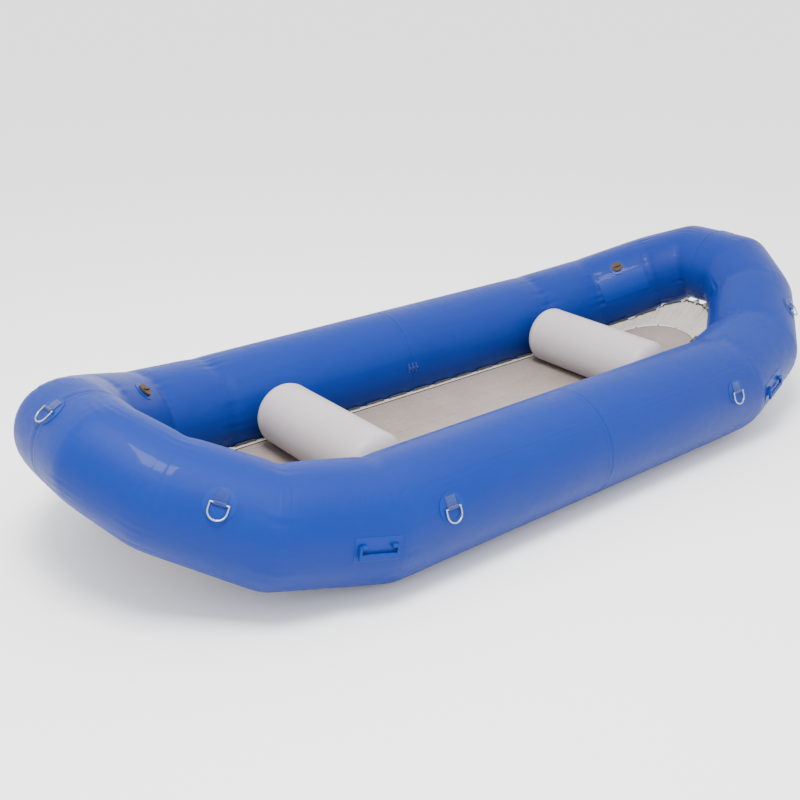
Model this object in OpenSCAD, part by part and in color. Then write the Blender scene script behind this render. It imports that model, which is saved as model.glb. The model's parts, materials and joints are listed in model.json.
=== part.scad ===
// Self-bailing inflatable whitewater raft: four tube chambers, an I-beam floor laced in by a
// perimeter flap, two thwarts, inflation valves, D-rings and carry handles.
// +X points to the bow, +Y to port and +Z up. The origin is on the ground, under the middle.

/* [Tubes] */
// Diameter of the side tubes
tube_d = 510; // [440:5:580]
// Diameter of the tubes across the nose
nose_tube_d = 428; // [380:2:480]
// Thickness of the coated fabric of the tubes, floor and thwarts
skin_t = 1.5; // [1:0.1:3]

/* [Hull plan] */
// Distance between the centre lines of the side tubes
tube_spacing = 1390; // [1300:10:1600]
// Length of the straight side, between its two mitres
side_l = 2232; // [1800:4:2700]
// Plan length of the first panel of the kick
panel_a_l = 432; // [400:2:520]
// Plan length of the second panel of the kick
panel_b_l = 394; // [360:2:460]
// Plan length of the third panel of the kick
panel_c_l = 241; // [220:1:280]
// Turn of the first panel towards the middle, in degrees
panel_a_turn = 13; // [8:0.5:16]
// Turn of the second panel towards the middle, in degrees
panel_b_turn = 37; // [32:0.5:40]
// Turn of the third panel towards the middle, in degrees
panel_c_turn = 59; // [54:0.5:62]
// Rise of the first panel, in degrees
panel_a_rise = 9.5; // [4:0.5:14]
// Rise of the second panel, in degrees
panel_b_rise = 21.5; // [14:0.5:26]
// Rise of the third panel, in degrees
panel_c_rise = 22.8; // [14:0.2:28]

/* [Floor] */
// Height of the floor's upper face above the ground
floor_top_z = 122; // [110:1:130]
// Thickness of the inflated floor
floor_t = 100; // [80:1:105]
// Width of the floor
floor_w = 912; // [800:2:920]
// Length of each rounded floor end
floor_end_l = 623; // [520:1:640]
// Number of I-beam webs inside the floor
beam_count = 7; // [3:2:9]

/* [Lacing] */
// Thickness of the lacing flap
flap_t = 2; // [1.5:0.1:3]
// Diameter of the lacing rope
rope_d = 9; // [6:0.5:10]
// Lacing stitches along half of a straight side
side_stitches = 7; // [4:1:9]

/* [Thwarts] */
// Diameter of the thwarts
thwart_d = 308; // [260:2:340]
// Place of the bow thwart, ahead of the middle
thwart_bow_x = 862; // [600:1:900]
// Place of the stern thwart, behind the middle
thwart_stern_x = 956; // [600:1:980]
// Room between a thwart's end and the side tube
thwart_end_gap = 15; // [14:0.5:20]
// Diameter of the pin through the thwart's loops
pin_d = 8; // [6:0.5:9]

/* [Valves] */
// Radius of the valve flange
valve_r = 32; // [30:0.5:38]
// Radius of the air passage
valve_bore_r = 19; // [16:0.5:20]
// Travel of the valve plunger
plunger_travel = 6; // [3:0.5:6]
// Angle of the starboard valves, round the tube from its outer side
valve_angle = 133; // [110:1:150]
// Angle of the port valves, which are one panel nearer the middle
port_valve_angle = 158; // [110:1:165]

/* [Fittings] */
// Inner width of a D-ring
d_ring_w = 64; // [50:1:76]
// Diameter of the D-ring's wire
d_ring_wire = 7; // [6:0.5:9]
// Distance of the side D-rings from the middle
d_ring_side_x = 925; // [700:5:1000]
// Radius of a D-ring patch
d_ring_patch_r = 62; // [55:1:80]
// Length of a carry handle
handle_l = 162; // [130:1:180]
// Height of the handle's grip
grip_h = 26; // [20:1:32]
// Thickness of the handle's grip
grip_t = 13; // [10:0.5:14]

/* [Hidden] */
$fn = 64;

BOW = 0;
STERN = 1;
PORT = 0;
STARBOARD = 1;

tube_r = tube_d / 2;
nose_r = nose_tube_d / 2;
far = 4 * tube_spacing;      // larger than any piece, for cutting blocks
slack = 0.2;                 // room between pieces that rest on each other
running = 0.08;              // radial room of a pin in its bore
tube_facet = 6;              // degrees between two lines of a tube's skin

// ---- the centre line of one quarter of the hull, from midships to the middle of the nose ----

function kick(l, turn, rise) = [l * cos(turn), -l * sin(turn), l * tan(rise)];
node_0 = [0, tube_spacing / 2, tube_r];
node_1 = [side_l / 2, tube_spacing / 2, tube_r];
node_2 = node_1 + kick(panel_a_l, panel_a_turn, panel_a_rise);
node_3 = node_2 + kick(panel_b_l, panel_b_turn, panel_b_rise);
node_4 = node_3 + kick(panel_c_l, panel_c_turn, panel_c_rise);
path = [node_0, node_1, node_2, node_3, node_4, [node_4[0], 0, node_4[2]]];
SIDE = 0;
KICK_A = 1;
KICK_B = 2;
KICK_C = 3;
NOSE = 4;
panels = [SIDE, KICK_A, KICK_B, KICK_C, NOSE];

function unit(v) = v / norm(v);
function radius(i) =
    i <= KICK_A ? tube_r : i >= NOSE ? nose_r : tube_r + (nose_r - tube_r) * (i - KICK_A) / 3;
function along(i) = path[i + 1] - path[i];
function taper(i) = asin((radius(i) - radius(i + 1)) / norm(along(i)));
function mitre_normal(i) =
    unit(along(i - 1)) / cos(taper(i - 1)) + unit(along(i)) / cos(taper(i));
function mitre_point(i) =
    path[i] + mitre_normal(i) * radius(i) * (tan(taper(i - 1)) + tan(taper(i)))
    / (mitre_normal(i) * mitre_normal(i));
function outboard(i) = unit([-along(i)[1], along(i)[0], 0]);
function upward(i) = cross(unit(along(i)), outboard(i));
function radius_at(i, s) = radius(i) - s * sin(taper(i));
function radial(i, angle) = outboard(i) * cos(angle) + upward(i) * sin(angle);
function on_skin(i, s, angle, lift) =
    path[i] + unit(along(i)) * s + radial(i, angle) * (radius_at(i, s) + lift);

module toward(p, n) {
    translate(p) rotate([0, acos(n[2] / norm(n)), atan2(n[1], n[0])]) children();
}

module behind(p, n) {
    toward(p, n) translate([-far / 2, -far / 2, -far]) cube(far);
}

// the endless cone of one panel
module cone(i, inset) {
    reach = tube_r;
    len = norm(along(i));
    at_start = (radius(i) - inset) / cos(taper(i));
    toward(path[i] - unit(along(i)) * reach, along(i)) cylinder(
        r1 = at_start + reach * tan(taper(i)),
        r2 = at_start - (len + reach) * tan(taper(i)),
        h = len + 2 * reach
    );
}

// children on a tube: z out of the skin, x along the tube, y round it and down the outside
module on_tube(i, s, angle) {
    d = along(i);
    translate(path[i] + unit(d) * s)
        rotate([0, -asin(d[2] / norm(d)), atan2(d[1], d[0])])
        rotate([angle - 90, 0, 0])
        rotate([0, taper(i), 0])
        translate([0, 0, radius_at(i, s)])
        children();
}

module at_quarter(end, side) {
    mirror([end, 0, 0]) mirror([0, side, 0]) children();
}

module all_quarters() {
    for (end = [BOW, STERN], side = [PORT, STARBOARD]) at_quarter(end, side) children();
}

// a thin skin glued on one panel, where the children's solid meets it
module patch_on(i, low, high) {
    intersection() {
        difference() {
            cone(i, -high);
            cone(i, -low);
        }
        children();
    }
}

// ---- tube chambers ----

// a direction that leans over with the tube, from unit direction a to unit direction b
function leaned(v, a, b) = v - (a + b) * ((a + b) * v) / (1 + a * b) + b * 2 * (a * v);
function ray(i, angle) =
    i == SIDE
    ? [0, cos(angle), sin(angle)]
    : leaned(ray(i - 1, angle), unit(along(i - 1)), unit(along(i)));

// where a straight line of panel i's skin meets the plane through p
function cut(i, angle, inset, p, n) = let (
    w = ray(i, angle),
    at_start = (radius(i) - inset) / cos(taper(i)),
    slope = unit(along(i)) - w * tan(taper(i)),
    first = path[i] + w * at_start
) first + slope * ((p - first) * n) / (slope * n);

// one line of the skin, from midships over the four mitres to the middle of the nose
function skin_line(angle, inset) = [
    cut(SIDE, angle, inset, [skin_t / 2, 0, 0], [1, 0, 0]),
    for (i = [KICK_A:NOSE]) cut(i, angle, inset, mitre_point(i), mitre_normal(i)),
    cut(NOSE, angle, inset, [0, skin_t / 2, 0], [0, 1, 0])
];

module chamber(end, side) {
    at_quarter(end, side) difference() {
        loop_solid([
            for (angle = [0:tube_facet:359])
                concat(skin_line(angle, 0), reversed(skin_line(angle, skin_t)))
        ]);
        at_tube_valve(side) valve_hole();
    }
}

module tube_bow_port() { color("royalblue") chamber(BOW, PORT); }
module tube_bow_starboard() { color("royalblue") chamber(BOW, STARBOARD); }
module tube_stern_port() { color("royalblue") chamber(STERN, PORT); }
module tube_stern_starboard() { color("royalblue") chamber(STERN, STARBOARD); }

// the walls between neighbouring chambers, amidships and in the nose
module bulkheads() {
    color("royalblue") {
        for (side = [-1, 1]) translate([-skin_t / 2, side * tube_spacing / 2, tube_r])
            rotate([0, 90, 0]) cylinder(r = tube_r, h = skin_t);
        for (end = [-1, 1]) translate([end * node_4[0], skin_t / 2, node_4[2]])
            rotate([90, 0, 0]) cylinder(r = nose_r, h = skin_t);
    }
}

// ---- floor ----

floor_half = floor_w / 2;
floor_round_x = node_1[0] - 56;   // where the floor starts to round, short of the side mitre
rise_steps = [
    [0, 0],
    [node_1[0], 0],
    [node_2[0], node_2[2] - tube_r],
    [node_3[0], node_3[2] - tube_r],
    [node_4[0], node_4[2] - tube_r]
];
function rise(x) = lookup(abs(x), rise_steps);
floor_tip_x = floor_round_x + floor_end_l;
floor_xs = [node_1[0], node_2[0], floor_tip_x + floor_t];
profile_xs = [for (k = [2:-1:0]) -floor_xs[k], for (x = floor_xs) x];

module floor_profile(inset) {
    polygon([
        for (x = profile_xs) [x, floor_top_z + rise(x) - inset],
        for (k = [len(profile_xs) - 1:-1:0])
            [profile_xs[k], floor_top_z + rise(profile_xs[k]) - floor_t + inset]
    ]);
}

function end_arc(inset, turn) = [
    for (a = [-90:7.5:90])
        turn * [floor_round_x + (floor_end_l - inset) * cos(a), (floor_half - inset) * sin(a)]
];

module floor_solid(inset) {
    intersection() {
        rotate([90, 0, 0]) linear_extrude(floor_w + floor_t, center = true)
            floor_profile(inset);
        linear_extrude(4 * tube_d, center = true)
            polygon(concat(end_arc(inset, 1), end_arc(inset, -1)));
    }
}

module floor_shell() {
    color("tan") difference() {
        floor_solid(0);
        floor_solid(skin_t);
        at_floor_valve() valve_hole();
    }
}

module floor_i_beams() {
    pitch = floor_w / (beam_count + 1);
    color("gainsboro") intersection() {
        floor_solid(skin_t);
        for (k = [1:beam_count]) translate([-far / 2, k * pitch - floor_half - skin_t / 2, 0])
            cube([far, skin_t, far]);
    }
}

// ---- lacing flap and rope ----

flap_glue_w = 14;            // width of the flap that lies on the floor's rim
flap_side_angle = 211;       // where the flap's edge meets the tube, round it from outside
flap_angle_step = 8.5;       // more turn of that place at each mitre
kick_stitches = 2;
panel_stitches = [side_stitches, kick_stitches, kick_stitches, 1, 1];
scallop = 0.12;              // share by which the flap's edge dips between its peaks

function flap_angle(i, t) = flap_side_angle + flap_angle_step * (i == SIDE ? 0 : i - 1 + t);

// the floor's rim opposite a point on the tube, drawn in by an amount
function rim(p, draw) =
    p[0] < floor_round_x
    ? [p[0], floor_half - draw, floor_top_z + slack]
    : let (
        a = atan2(p[1] / floor_half, (p[0] - floor_round_x) / floor_end_l),
        x = floor_round_x + (floor_end_l - draw) * cos(a)
    ) [x, (floor_half - draw) * sin(a), floor_top_z + rise(x) + slack];

// how far along a panel one of its skin's lines meets the plane through p
function line_end(i, angle, lift, p, n) = let (
    w = radial(i, angle)
) ((p - path[i] - w * (radius(i) + lift)) * n) / ((unit(along(i)) - w * sin(taper(i))) * n);

function tube_edge(i, t) = let (
    angle = flap_angle(i, min(t, i == NOSE ? 0.5 : 1)),
    lift = flap_t + 1,
    first = i == SIDE ? 0 : line_end(i, angle, lift, mitre_point(i), mitre_normal(i)),
    last = i == NOSE
        ? norm(along(i))
        : line_end(i, angle, lift, mitre_point(i + 1), mitre_normal(i + 1))
) on_skin(i, first + t * (last - first), angle, lift);

// stations of one quarter, each [panel, place along it from 0 to 1, place in its stitch]
function stations(steps) = [
    for (i = panels, k = [0:panel_stitches[i] - 1], u = steps)
        [i, (k + u) / panel_stitches[i], u]
];

function mirrored(p, sx, sy) = [sx * p[0], sy * p[1], p[2]];
function reversed(list) = [for (k = [len(list) - 1:-1:0]) list[k]];

// a quarter's items carried round all four quarters, as one loop
function all_round(quarter) = concat(
    [for (item = quarter) [for (p = item) mirrored(p, 1, 1)]],
    [for (item = reversed(quarter)) [for (p = item) mirrored(p, 1, -1)]],
    [for (item = quarter) [for (p = item) mirrored(p, -1, -1)]],
    [for (item = reversed(quarter)) [for (p = item) mirrored(p, -1, 1)]]
);

function flap_section(st) = let (
    outer = tube_edge(st[0], st[1]),
    inner = rim(outer, flap_glue_w),
    edge = inner + (outer - inner) * (1 - scallop * pow(sin(180 * st[2]), 2)),
    lip = rim(outer, -slack),
    up = [0, 0, flap_t]
) [inner, lip, edge, edge + up, lip + up, inner + up];

// a closed loop of sections as one solid; both walls of a thin one are split the same way
module loop_solid(sections) {
    n = len(sections);
    m = len(sections[0]);
    polyhedron(
        points = [for (section = sections) for (p = section) p],
        faces = [
            for (k = [0:n - 1], j = [0:m - 1]) let (
                a = k * m,
                b = ((k + 1) % n) * m,
                next = (j + 1) % m
            ) each j < m / 2
                ? [[a + j, b + j, b + next], [a + j, b + next, a + next]]
                : [[a + j, b + j, a + next], [b + j, b + next, a + next]]
        ]
    );
}

module lacing_flap() {
    color("antiquewhite") loop_solid(
        all_round([for (st = stations([0.05, 0.35, 0.65, 0.95])) flap_section(st)])
    );
}

rope_room = 7.6;             // least distance of the rope's middle from the flap's edge
rope_inset = 0.16;           // and that distance as a share of a wide flap
rope_lift = (rope_d + flap_t) / 2 + slack;

function rope_point(st) = let (
    outer = tube_edge(st[0], st[1]),
    inner = rim(outer, flap_glue_w),
    place = 1 - max(rope_room / norm(outer - inner), rope_inset),
    over = st[2] > 0.15 && st[2] < 0.85
) inner + (outer - inner) * place + [0, 0, flap_t / 2 + (over ? rope_lift : -rope_lift)];

function rope_loop() =
    [for (item = all_round([for (st = stations([0.08, 0.2, 0.8, 0.92])) [rope_point(st)]])) item[0]];

module lacing_rope() {
    sides = 8;
    line = rope_loop();
    n = len(line);
    color("black") loop_solid([
        for (k = [0:n - 1]) let (
            dir = unit(line[(k + 1) % n] - line[(k + n - 1) % n]),
            across = unit(cross(dir, [0, 0, 1])),
            over = cross(across, dir)
        ) [
            for (j = [0:sides - 1])
                line[k] + rope_d / 2 * (across * cos(360 * j / sides) + over * sin(360 * j / sides))
        ]
    ]);
}

// ---- thwarts, their loops, tabs and pins ----

thwart_r = thwart_d / 2;
thwart_gap = 1;
thwart_z = floor_top_z + thwart_gap + thwart_r;
dome = thwart_r / 2;
loop_w = 9;
loop_pitch = 12;
loop_t = 2;
loop_r = pin_d / 2 + loop_t + slack;
loop_sink = 0.8;              // depth to which a loop's ring is set into its foot
foot_l = 50;
pin_lift = loop_r + 0.3;      // from the plane that the thwarts' ends are measured from
pin_reach = tube_r + loop_t - loop_sink + loop_r;
inner_wall_y = tube_spacing / 2 - sqrt(pow(pin_reach, 2) - pow(thwart_z - tube_r, 2)) + pin_lift;
thwart_half = inner_wall_y - thwart_end_gap;

function half_profile(inset) = [
    for (a = [0:6:90]) [
        (thwart_r - inset) * cos(a),
        thwart_half - dome + (dome - inset) * sin(a)
    ]
];

module thwart(x, valve_side) {
    color("gainsboro") difference() {
        translate([x, 0, thwart_z]) rotate([90, 0, 0]) rotate_extrude() polygon(concat(
            half_profile(0),
            reversed(half_profile(skin_t)),
            [for (p = half_profile(skin_t)) [p[0], -p[1]]],
            reversed([for (p = half_profile(0)) [p[0], -p[1]]])
        ));
        at_thwart_valve(valve_side) valve_hole();
    }
}

module thwart_bow() { thwart(thwart_bow_x, BOW); }
module thwart_stern() { thwart(-thwart_stern_x, STERN); }

// children at a loop set of the port bow quarter: z inboard from the tube, x to the bow, y up
module at_loops(x) {
    translate([x, inner_wall_y, thwart_z]) rotate([90, 0, 0]) children();
}

module at_both_thwarts() {
    for (side = [PORT, STARBOARD]) {
        at_quarter(BOW, side) at_loops(thwart_bow_x) children();
        at_quarter(STERN, side) at_loops(thwart_stern_x) children();
    }
}

module loop_ring() {
    rotate([0, 90, 0]) difference() {
        cylinder(r = loop_r, h = loop_w, center = true);
        cylinder(r = pin_d / 2 + slack, h = 2 * loop_w, center = true);
    }
}

// three loops with their feet on the tube
module loop_set(end, side, x) {
    at_quarter(end, side) for (k = [-2, 0, 2]) {
        at_loops(x) translate([k * loop_pitch, 0, pin_lift]) loop_ring();
        patch_on(SIDE, 0, loop_t) at_loops(x + k * loop_pitch)
            cube([loop_w, foot_l, tube_r / 6], center = true);
    }
}

module thwart_loops() {
    color("royalblue") for (side = [PORT, STARBOARD]) {
        loop_set(BOW, side, thwart_bow_x);
        loop_set(STERN, side, thwart_stern_x);
    }
}

// the empty place for a third thwart
module thwart_loops_mid() {
    color("royalblue") for (side = [PORT, STARBOARD]) loop_set(BOW, side, 0);
}

module thwart_tabs() {
    color("gainsboro") at_both_thwarts() {
        for (k = [-1, 1]) translate([k * loop_pitch, 0, pin_lift]) {
            loop_ring();
            translate([-loop_w / 2, -loop_t, pin_d / 2 + slack + loop_t / 2])
                cube([loop_w, 2 * loop_t, thwart_end_gap - loop_t - pin_lift - pin_d / 2]);
        }
        translate([-1.5 * loop_pitch, -foot_l / 2, thwart_end_gap - loop_t])
            cube([3 * loop_pitch, foot_l, loop_t]);
    }
}

module thwart_pins() {
    pin_l = 6 * loop_pitch;
    color("dimgray") at_both_thwarts() translate([-pin_l / 2, 0, pin_lift])
        rotate([0, 90, 0]) cylinder(r = pin_d / 2, h = pin_l);
}

// ---- valves ----

valve_patch_t = 2.5;
valve_patch_r = valve_r + 16;
flange_t = 4;
stem_r = valve_bore_r + 6;
stem_depth = 21;
hole_room = 0.3;
seat_r = valve_bore_r - 5;
seat_t = 6;
spider_z = -13;
spider_t = 3;
spider_w = 5;
rod_r = 3;
button_r = 8;
button_wall = 1.8;
button_top = 3;
button_h = 5;
poppet_t = 3;
clamp_ring_t = 4;
clamp_ring_top = -6;
cap_t = 5;
cap_r = valve_r - 2;
cap_skirt_t = 3.5;
cap_grip = [44, 8, 7];
spring_wire_r = 0.6;
spring_r = 4.9;
spring_turns = 3;
flange_top = valve_patch_t + flange_t;
valve_s = norm(along(KICK_B)) / 2;
port_valve_s = norm(along(KICK_A)) / 2;
thwart_valve_y = -200;
floor_valve_x = 560;
floor_valve_y = -floor_w / (beam_count + 1) * 1.5;

module at_tube_valve(side) {
    if (side == PORT) on_tube(KICK_A, port_valve_s, port_valve_angle) children();
    else on_tube(KICK_B, valve_s, valve_angle) children();
}

module at_hull_valve(end, side) { at_quarter(end, side) at_tube_valve(side) children(); }

// the thwart valves face the stern
module at_thwart_valve(end) {
    translate([end == BOW ? thwart_bow_x : -thwart_stern_x, thwart_valve_y, thwart_z])
        rotate([0, -90, 0]) translate([0, 0, thwart_r]) children();
}

module at_floor_valve() {
    translate([floor_valve_x, floor_valve_y, floor_top_z]) children();
}

module at_all_valves() {
    for (end = [BOW, STERN], side = [PORT, STARBOARD]) at_hull_valve(end, side) children();
    for (end = [BOW, STERN]) at_thwart_valve(end) children();
    at_floor_valve() children();
}

module valve_hole() {
    translate([0, 0, -stem_depth]) cylinder(r = stem_r + hole_room, h = 2 * stem_depth);
}

module valve_patch_disc() {
    difference() {
        translate([0, 0, -tube_r / 8]) cylinder(r = valve_patch_r, h = tube_r / 4);
        translate([0, 0, -tube_r / 4]) cylinder(r = stem_r + hole_room, h = tube_r / 2);
    }
}

module valve_patches() {
    color("royalblue") for (end = [BOW, STERN], side = [PORT, STARBOARD])
        at_quarter(end, side) patch_on(side == PORT ? KICK_A : KICK_B, 0, valve_patch_t)
        at_tube_valve(side) valve_patch_disc();
    color("gainsboro") for (end = [BOW, STERN]) intersection() {
        translate([end == BOW ? thwart_bow_x : -thwart_stern_x, 0, thwart_z])
            rotate([90, 0, 0]) difference() {
                cylinder(r = thwart_r + valve_patch_t, h = thwart_d, center = false);
                translate([0, 0, -1]) cylinder(r = thwart_r, h = thwart_d + 2);
            }
        at_thwart_valve(end) valve_patch_disc();
    }
    color("tan") at_floor_valve() intersection() {
        cylinder(r = valve_patch_r, h = valve_patch_t);
        valve_patch_disc();
    }
}

module valve_body() {
    difference() {
        union() {
            translate([0, 0, valve_patch_t]) cylinder(r = valve_r, h = flange_t);
            translate([0, 0, -stem_depth]) cylinder(r = stem_r, h = stem_depth + flange_top);
        }
        translate([0, 0, seat_t - stem_depth])
            cylinder(r = valve_bore_r, h = stem_depth + 2 * flange_top);
        translate([0, 0, -2 * stem_depth]) cylinder(r = seat_r, h = 4 * stem_depth);
    }
    translate([0, 0, spider_z]) difference() {
        union() for (turn = [0, 90]) rotate([0, 0, turn])
            translate([-valve_bore_r - 1, -spider_w / 2, 0])
            cube([2 * valve_bore_r + 2, spider_w, spider_t]);
        translate([0, 0, -spider_t]) cylinder(r = rod_r + running, h = 3 * spider_t);
    }
}

module valve_bodies() { color("black") at_all_valves() valve_body(); }

module valve_clamp_rings() {
    color("dimgray") at_all_valves() translate([0, 0, clamp_ring_top - clamp_ring_t])
        difference() {
            cylinder(r = valve_r + 1, h = clamp_ring_t);
            translate([0, 0, -1]) cylinder(r = stem_r + running, h = clamp_ring_t + 2);
        }
}

// the return spring, drawn at its pressed length on the spider
module valve_spring() {
    steps = 10;
    sides = 6;
    n = spring_turns * steps;
    base = spider_z + spider_t + spring_wire_r + slack / 2;
    room = button_top - button_wall - plunger_travel - slack - base - spring_wire_r;
    points = [
        for (k = [0:n], j = [0:sides - 1]) let (
            a = 360 * k / steps,
            r = spring_r + spring_wire_r * cos(360 * j / sides)
        ) [r * cos(a), r * sin(a), base + room * k / n + spring_wire_r * sin(360 * j / sides)]
    ];
    polyhedron(
        points = points,
        faces = concat(
            [[for (j = [0:sides - 1]) j]],
            [
                for (k = [0:n - 1], j = [0:sides - 1]) let (
                    a = k * sides,
                    b = a + sides,
                    next = (j + 1) % sides
                ) each [[a + j, b + j, b + next], [a + j, b + next, a + next]]
            ],
            [[for (j = [sides - 1:-1:0]) n * sides + j]]
        )
    );
}

module valve_springs() { color("silver") at_all_valves() valve_spring(); }

module valve_plunger() {
    color("white") {
        translate([0, 0, -stem_depth - slack - poppet_t])
            cylinder(r = (seat_r + stem_r) / 2, h = poppet_t);
        translate([0, 0, -stem_depth - slack - poppet_t / 2])
            cylinder(r = rod_r, h = stem_depth + button_top);
        translate([0, 0, button_top - button_h]) difference() {
            cylinder(r = button_r, h = button_h);
            translate([0, 0, -button_wall])
                cylinder(r = button_r - button_wall, h = button_h);
        }
    }
}

module valve_cap() {
    color("saddlebrown") {
        translate([0, 0, flange_top + slack]) cylinder(r = cap_r, h = cap_t);
        translate([-cap_grip[0] / 2, -cap_grip[1] / 2, flange_top + slack + cap_t])
            cube(cap_grip);
        translate([0, 0, -1]) difference() {
            cylinder(r = valve_bore_r - slack, h = flange_top + 1 + cap_t / 2);
            translate([0, 0, -1])
                cylinder(r = valve_bore_r - slack - cap_skirt_t, h = flange_top + cap_t);
        }
    }
}

module valve_cap_bow_port() { at_hull_valve(BOW, PORT) valve_cap(); }
module valve_cap_bow_starboard() { at_hull_valve(BOW, STARBOARD) valve_cap(); }
module valve_cap_stern_port() { at_hull_valve(STERN, PORT) valve_cap(); }
module valve_cap_stern_starboard() { at_hull_valve(STERN, STARBOARD) valve_cap(); }
module valve_cap_thwart_bow() { at_thwart_valve(BOW) valve_cap(); }
module valve_cap_thwart_stern() { at_thwart_valve(STERN) valve_cap(); }
module valve_cap_floor() { at_floor_valve() valve_cap(); }
module valve_plunger_bow_port() { at_hull_valve(BOW, PORT) valve_plunger(); }
module valve_plunger_bow_starboard() { at_hull_valve(BOW, STARBOARD) valve_plunger(); }
module valve_plunger_stern_port() { at_hull_valve(STERN, PORT) valve_plunger(); }
module valve_plunger_stern_starboard() { at_hull_valve(STERN, STARBOARD) valve_plunger(); }
module valve_plunger_thwart_bow() { at_thwart_valve(BOW) valve_plunger(); }
module valve_plunger_thwart_stern() { at_thwart_valve(STERN) valve_plunger(); }
module valve_plunger_floor() { at_floor_valve() valve_plunger(); }

// a rectangle of fabric that guards the stern quarter's inside, on the starboard side
chafe_size = [280, 130];
chafe_t = 1;
chafe_glue = 0.15;
chafe_room = 16;              // between this patch and the valve's
chafe_angle = valve_angle
    + (chafe_size[1] / 2 + valve_patch_r + chafe_room) / tube_r * 180 / PI;

module chafe_patch() {
    color("royalblue") at_quarter(STERN, STARBOARD) patch_on(KICK_B, chafe_glue, chafe_glue + chafe_t)
        on_tube(KICK_B, valve_s, chafe_angle)
        cube([chafe_size[0], chafe_size[1], tube_r / 4], center = true);
}

// ---- D-rings ----

ring_patch_t = 2;
webbing_w = 48;
webbing_t = 3;
webbing_tail = 42;
wire_r = d_ring_wire / 2;
ring_half = d_ring_w / 2 + wire_r;
ring_leg = 25;
ring_lift = ring_patch_t + webbing_t + wire_r;
side_ring_angle = 21;
quarter_ring_angle = 36;
nose_ring_angle = 55;
eye_r = wire_r + webbing_t;

module at_side_ring() { on_tube(SIDE, d_ring_side_x, side_ring_angle) children(); }
module at_quarter_ring() {
    on_tube(KICK_B, norm(along(KICK_B)) / 2, quarter_ring_angle) children();
}
module at_nose_ring(end) {
    mirror([end, 0, 0]) on_tube(NOSE, norm(along(NOSE)), nose_ring_angle) children();
}

module patch_disc() {
    translate([0, 0, -tube_r / 6]) cylinder(r = d_ring_patch_r, h = tube_r / 3);
}

module d_ring_patches() {
    color("royalblue") {
        all_quarters() {
            patch_on(SIDE, 0, ring_patch_t) at_side_ring() patch_disc();
            patch_on(KICK_B, 0, ring_patch_t) at_quarter_ring() patch_disc();
        }
        for (end = [BOW, STERN]) intersection() {
            nose_cylinder(ring_patch_t);
            at_nose_ring(end) patch_disc();
        }
    }
}

// a skin round both straight nose tubes
module nose_cylinder(high, low = 0) {
    for (end = [-1, 1]) translate([end * node_4[0], 0, node_4[2]]) rotate([90, 0, 0])
        difference() {
            cylinder(r = nose_r + high, h = 2 * node_4[1], center = true);
            cylinder(r = nose_r + low, h = 4 * node_4[1], center = true);
        }
}

// the eye that holds a ring's bar, above the patch
module webbing_eye() {
    difference() {
        union() {
            translate([0, 0, ring_lift]) rotate([0, 90, 0])
                cylinder(r = eye_r, h = webbing_w, center = true);
            translate([-webbing_w / 2, -eye_r, ring_patch_t])
                cube([webbing_w, 2 * eye_r, ring_lift - ring_patch_t]);
        }
        translate([0, 0, ring_lift]) rotate([0, 90, 0])
            cylinder(r = wire_r + running, h = 2 * webbing_w, center = true);
    }
}

module webbing_block() {
    translate([-webbing_w / 2, -eye_r - webbing_tail, -tube_r / 6])
        cube([webbing_w, webbing_tail, tube_r / 3]);
}

module d_ring_webbing() {
    high = ring_patch_t + webbing_t;
    color("royalblue") {
        all_quarters() {
            at_side_ring() webbing_eye();
            at_quarter_ring() webbing_eye();
            patch_on(SIDE, ring_patch_t, high) at_side_ring() webbing_block();
            patch_on(KICK_B, ring_patch_t, high) at_quarter_ring() webbing_block();
        }
        for (end = [BOW, STERN]) {
            at_nose_ring(end) webbing_eye();
            intersection() {
                nose_cylinder(high, ring_patch_t);
                at_nose_ring(end) webbing_block();
            }
        }
    }
}

// the ring hangs down the skin from its bar
module d_ring() {
    color("silver") translate([0, 0, ring_lift]) {
        rotate([0, 90, 0]) cylinder(r = wire_r, h = 2 * ring_half, center = true);
        for (end = [-1, 1]) translate([end * ring_half, 0, 0]) {
            sphere(r = wire_r);
            rotate([-90, 0, 0]) cylinder(r = wire_r, h = ring_leg);
        }
        translate([0, ring_leg, 0]) rotate_extrude(angle = 180)
            translate([ring_half, 0]) circle(r = wire_r);
    }
}

module d_ring_nose_bow() { at_nose_ring(BOW) d_ring(); }
module d_ring_nose_stern() { at_nose_ring(STERN) d_ring(); }
module d_ring_quarter_bow_port() { at_quarter(BOW, PORT) at_quarter_ring() d_ring(); }
module d_ring_quarter_bow_starboard() { at_quarter(BOW, STARBOARD) at_quarter_ring() d_ring(); }
module d_ring_quarter_stern_port() { at_quarter(STERN, PORT) at_quarter_ring() d_ring(); }
module d_ring_quarter_stern_starboard() {
    at_quarter(STERN, STARBOARD) at_quarter_ring() d_ring();
}
module d_ring_side_bow_port() { at_quarter(BOW, PORT) at_side_ring() d_ring(); }
module d_ring_side_bow_starboard() { at_quarter(BOW, STARBOARD) at_side_ring() d_ring(); }
module d_ring_side_stern_port() { at_quarter(STERN, PORT) at_side_ring() d_ring(); }
module d_ring_side_stern_starboard() { at_quarter(STERN, STARBOARD) at_side_ring() d_ring(); }

// ---- carry handles ----

handle_s = 98;
handle_angle = 6;
handle_patch_t = 1.5;
handle_patch = [190, 104];
handle_pin_r = 4.5;
handle_lift = 11.5;
tab_w = 18;
arm_w = 10;
tab_r = 7.5;
grip_y = 40;
side_gap = 0.5;
tab_x = handle_l / 2 - arm_w - side_gap - tab_w;

module at_handle() { on_tube(KICK_A, handle_s, handle_angle) children(); }

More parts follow.
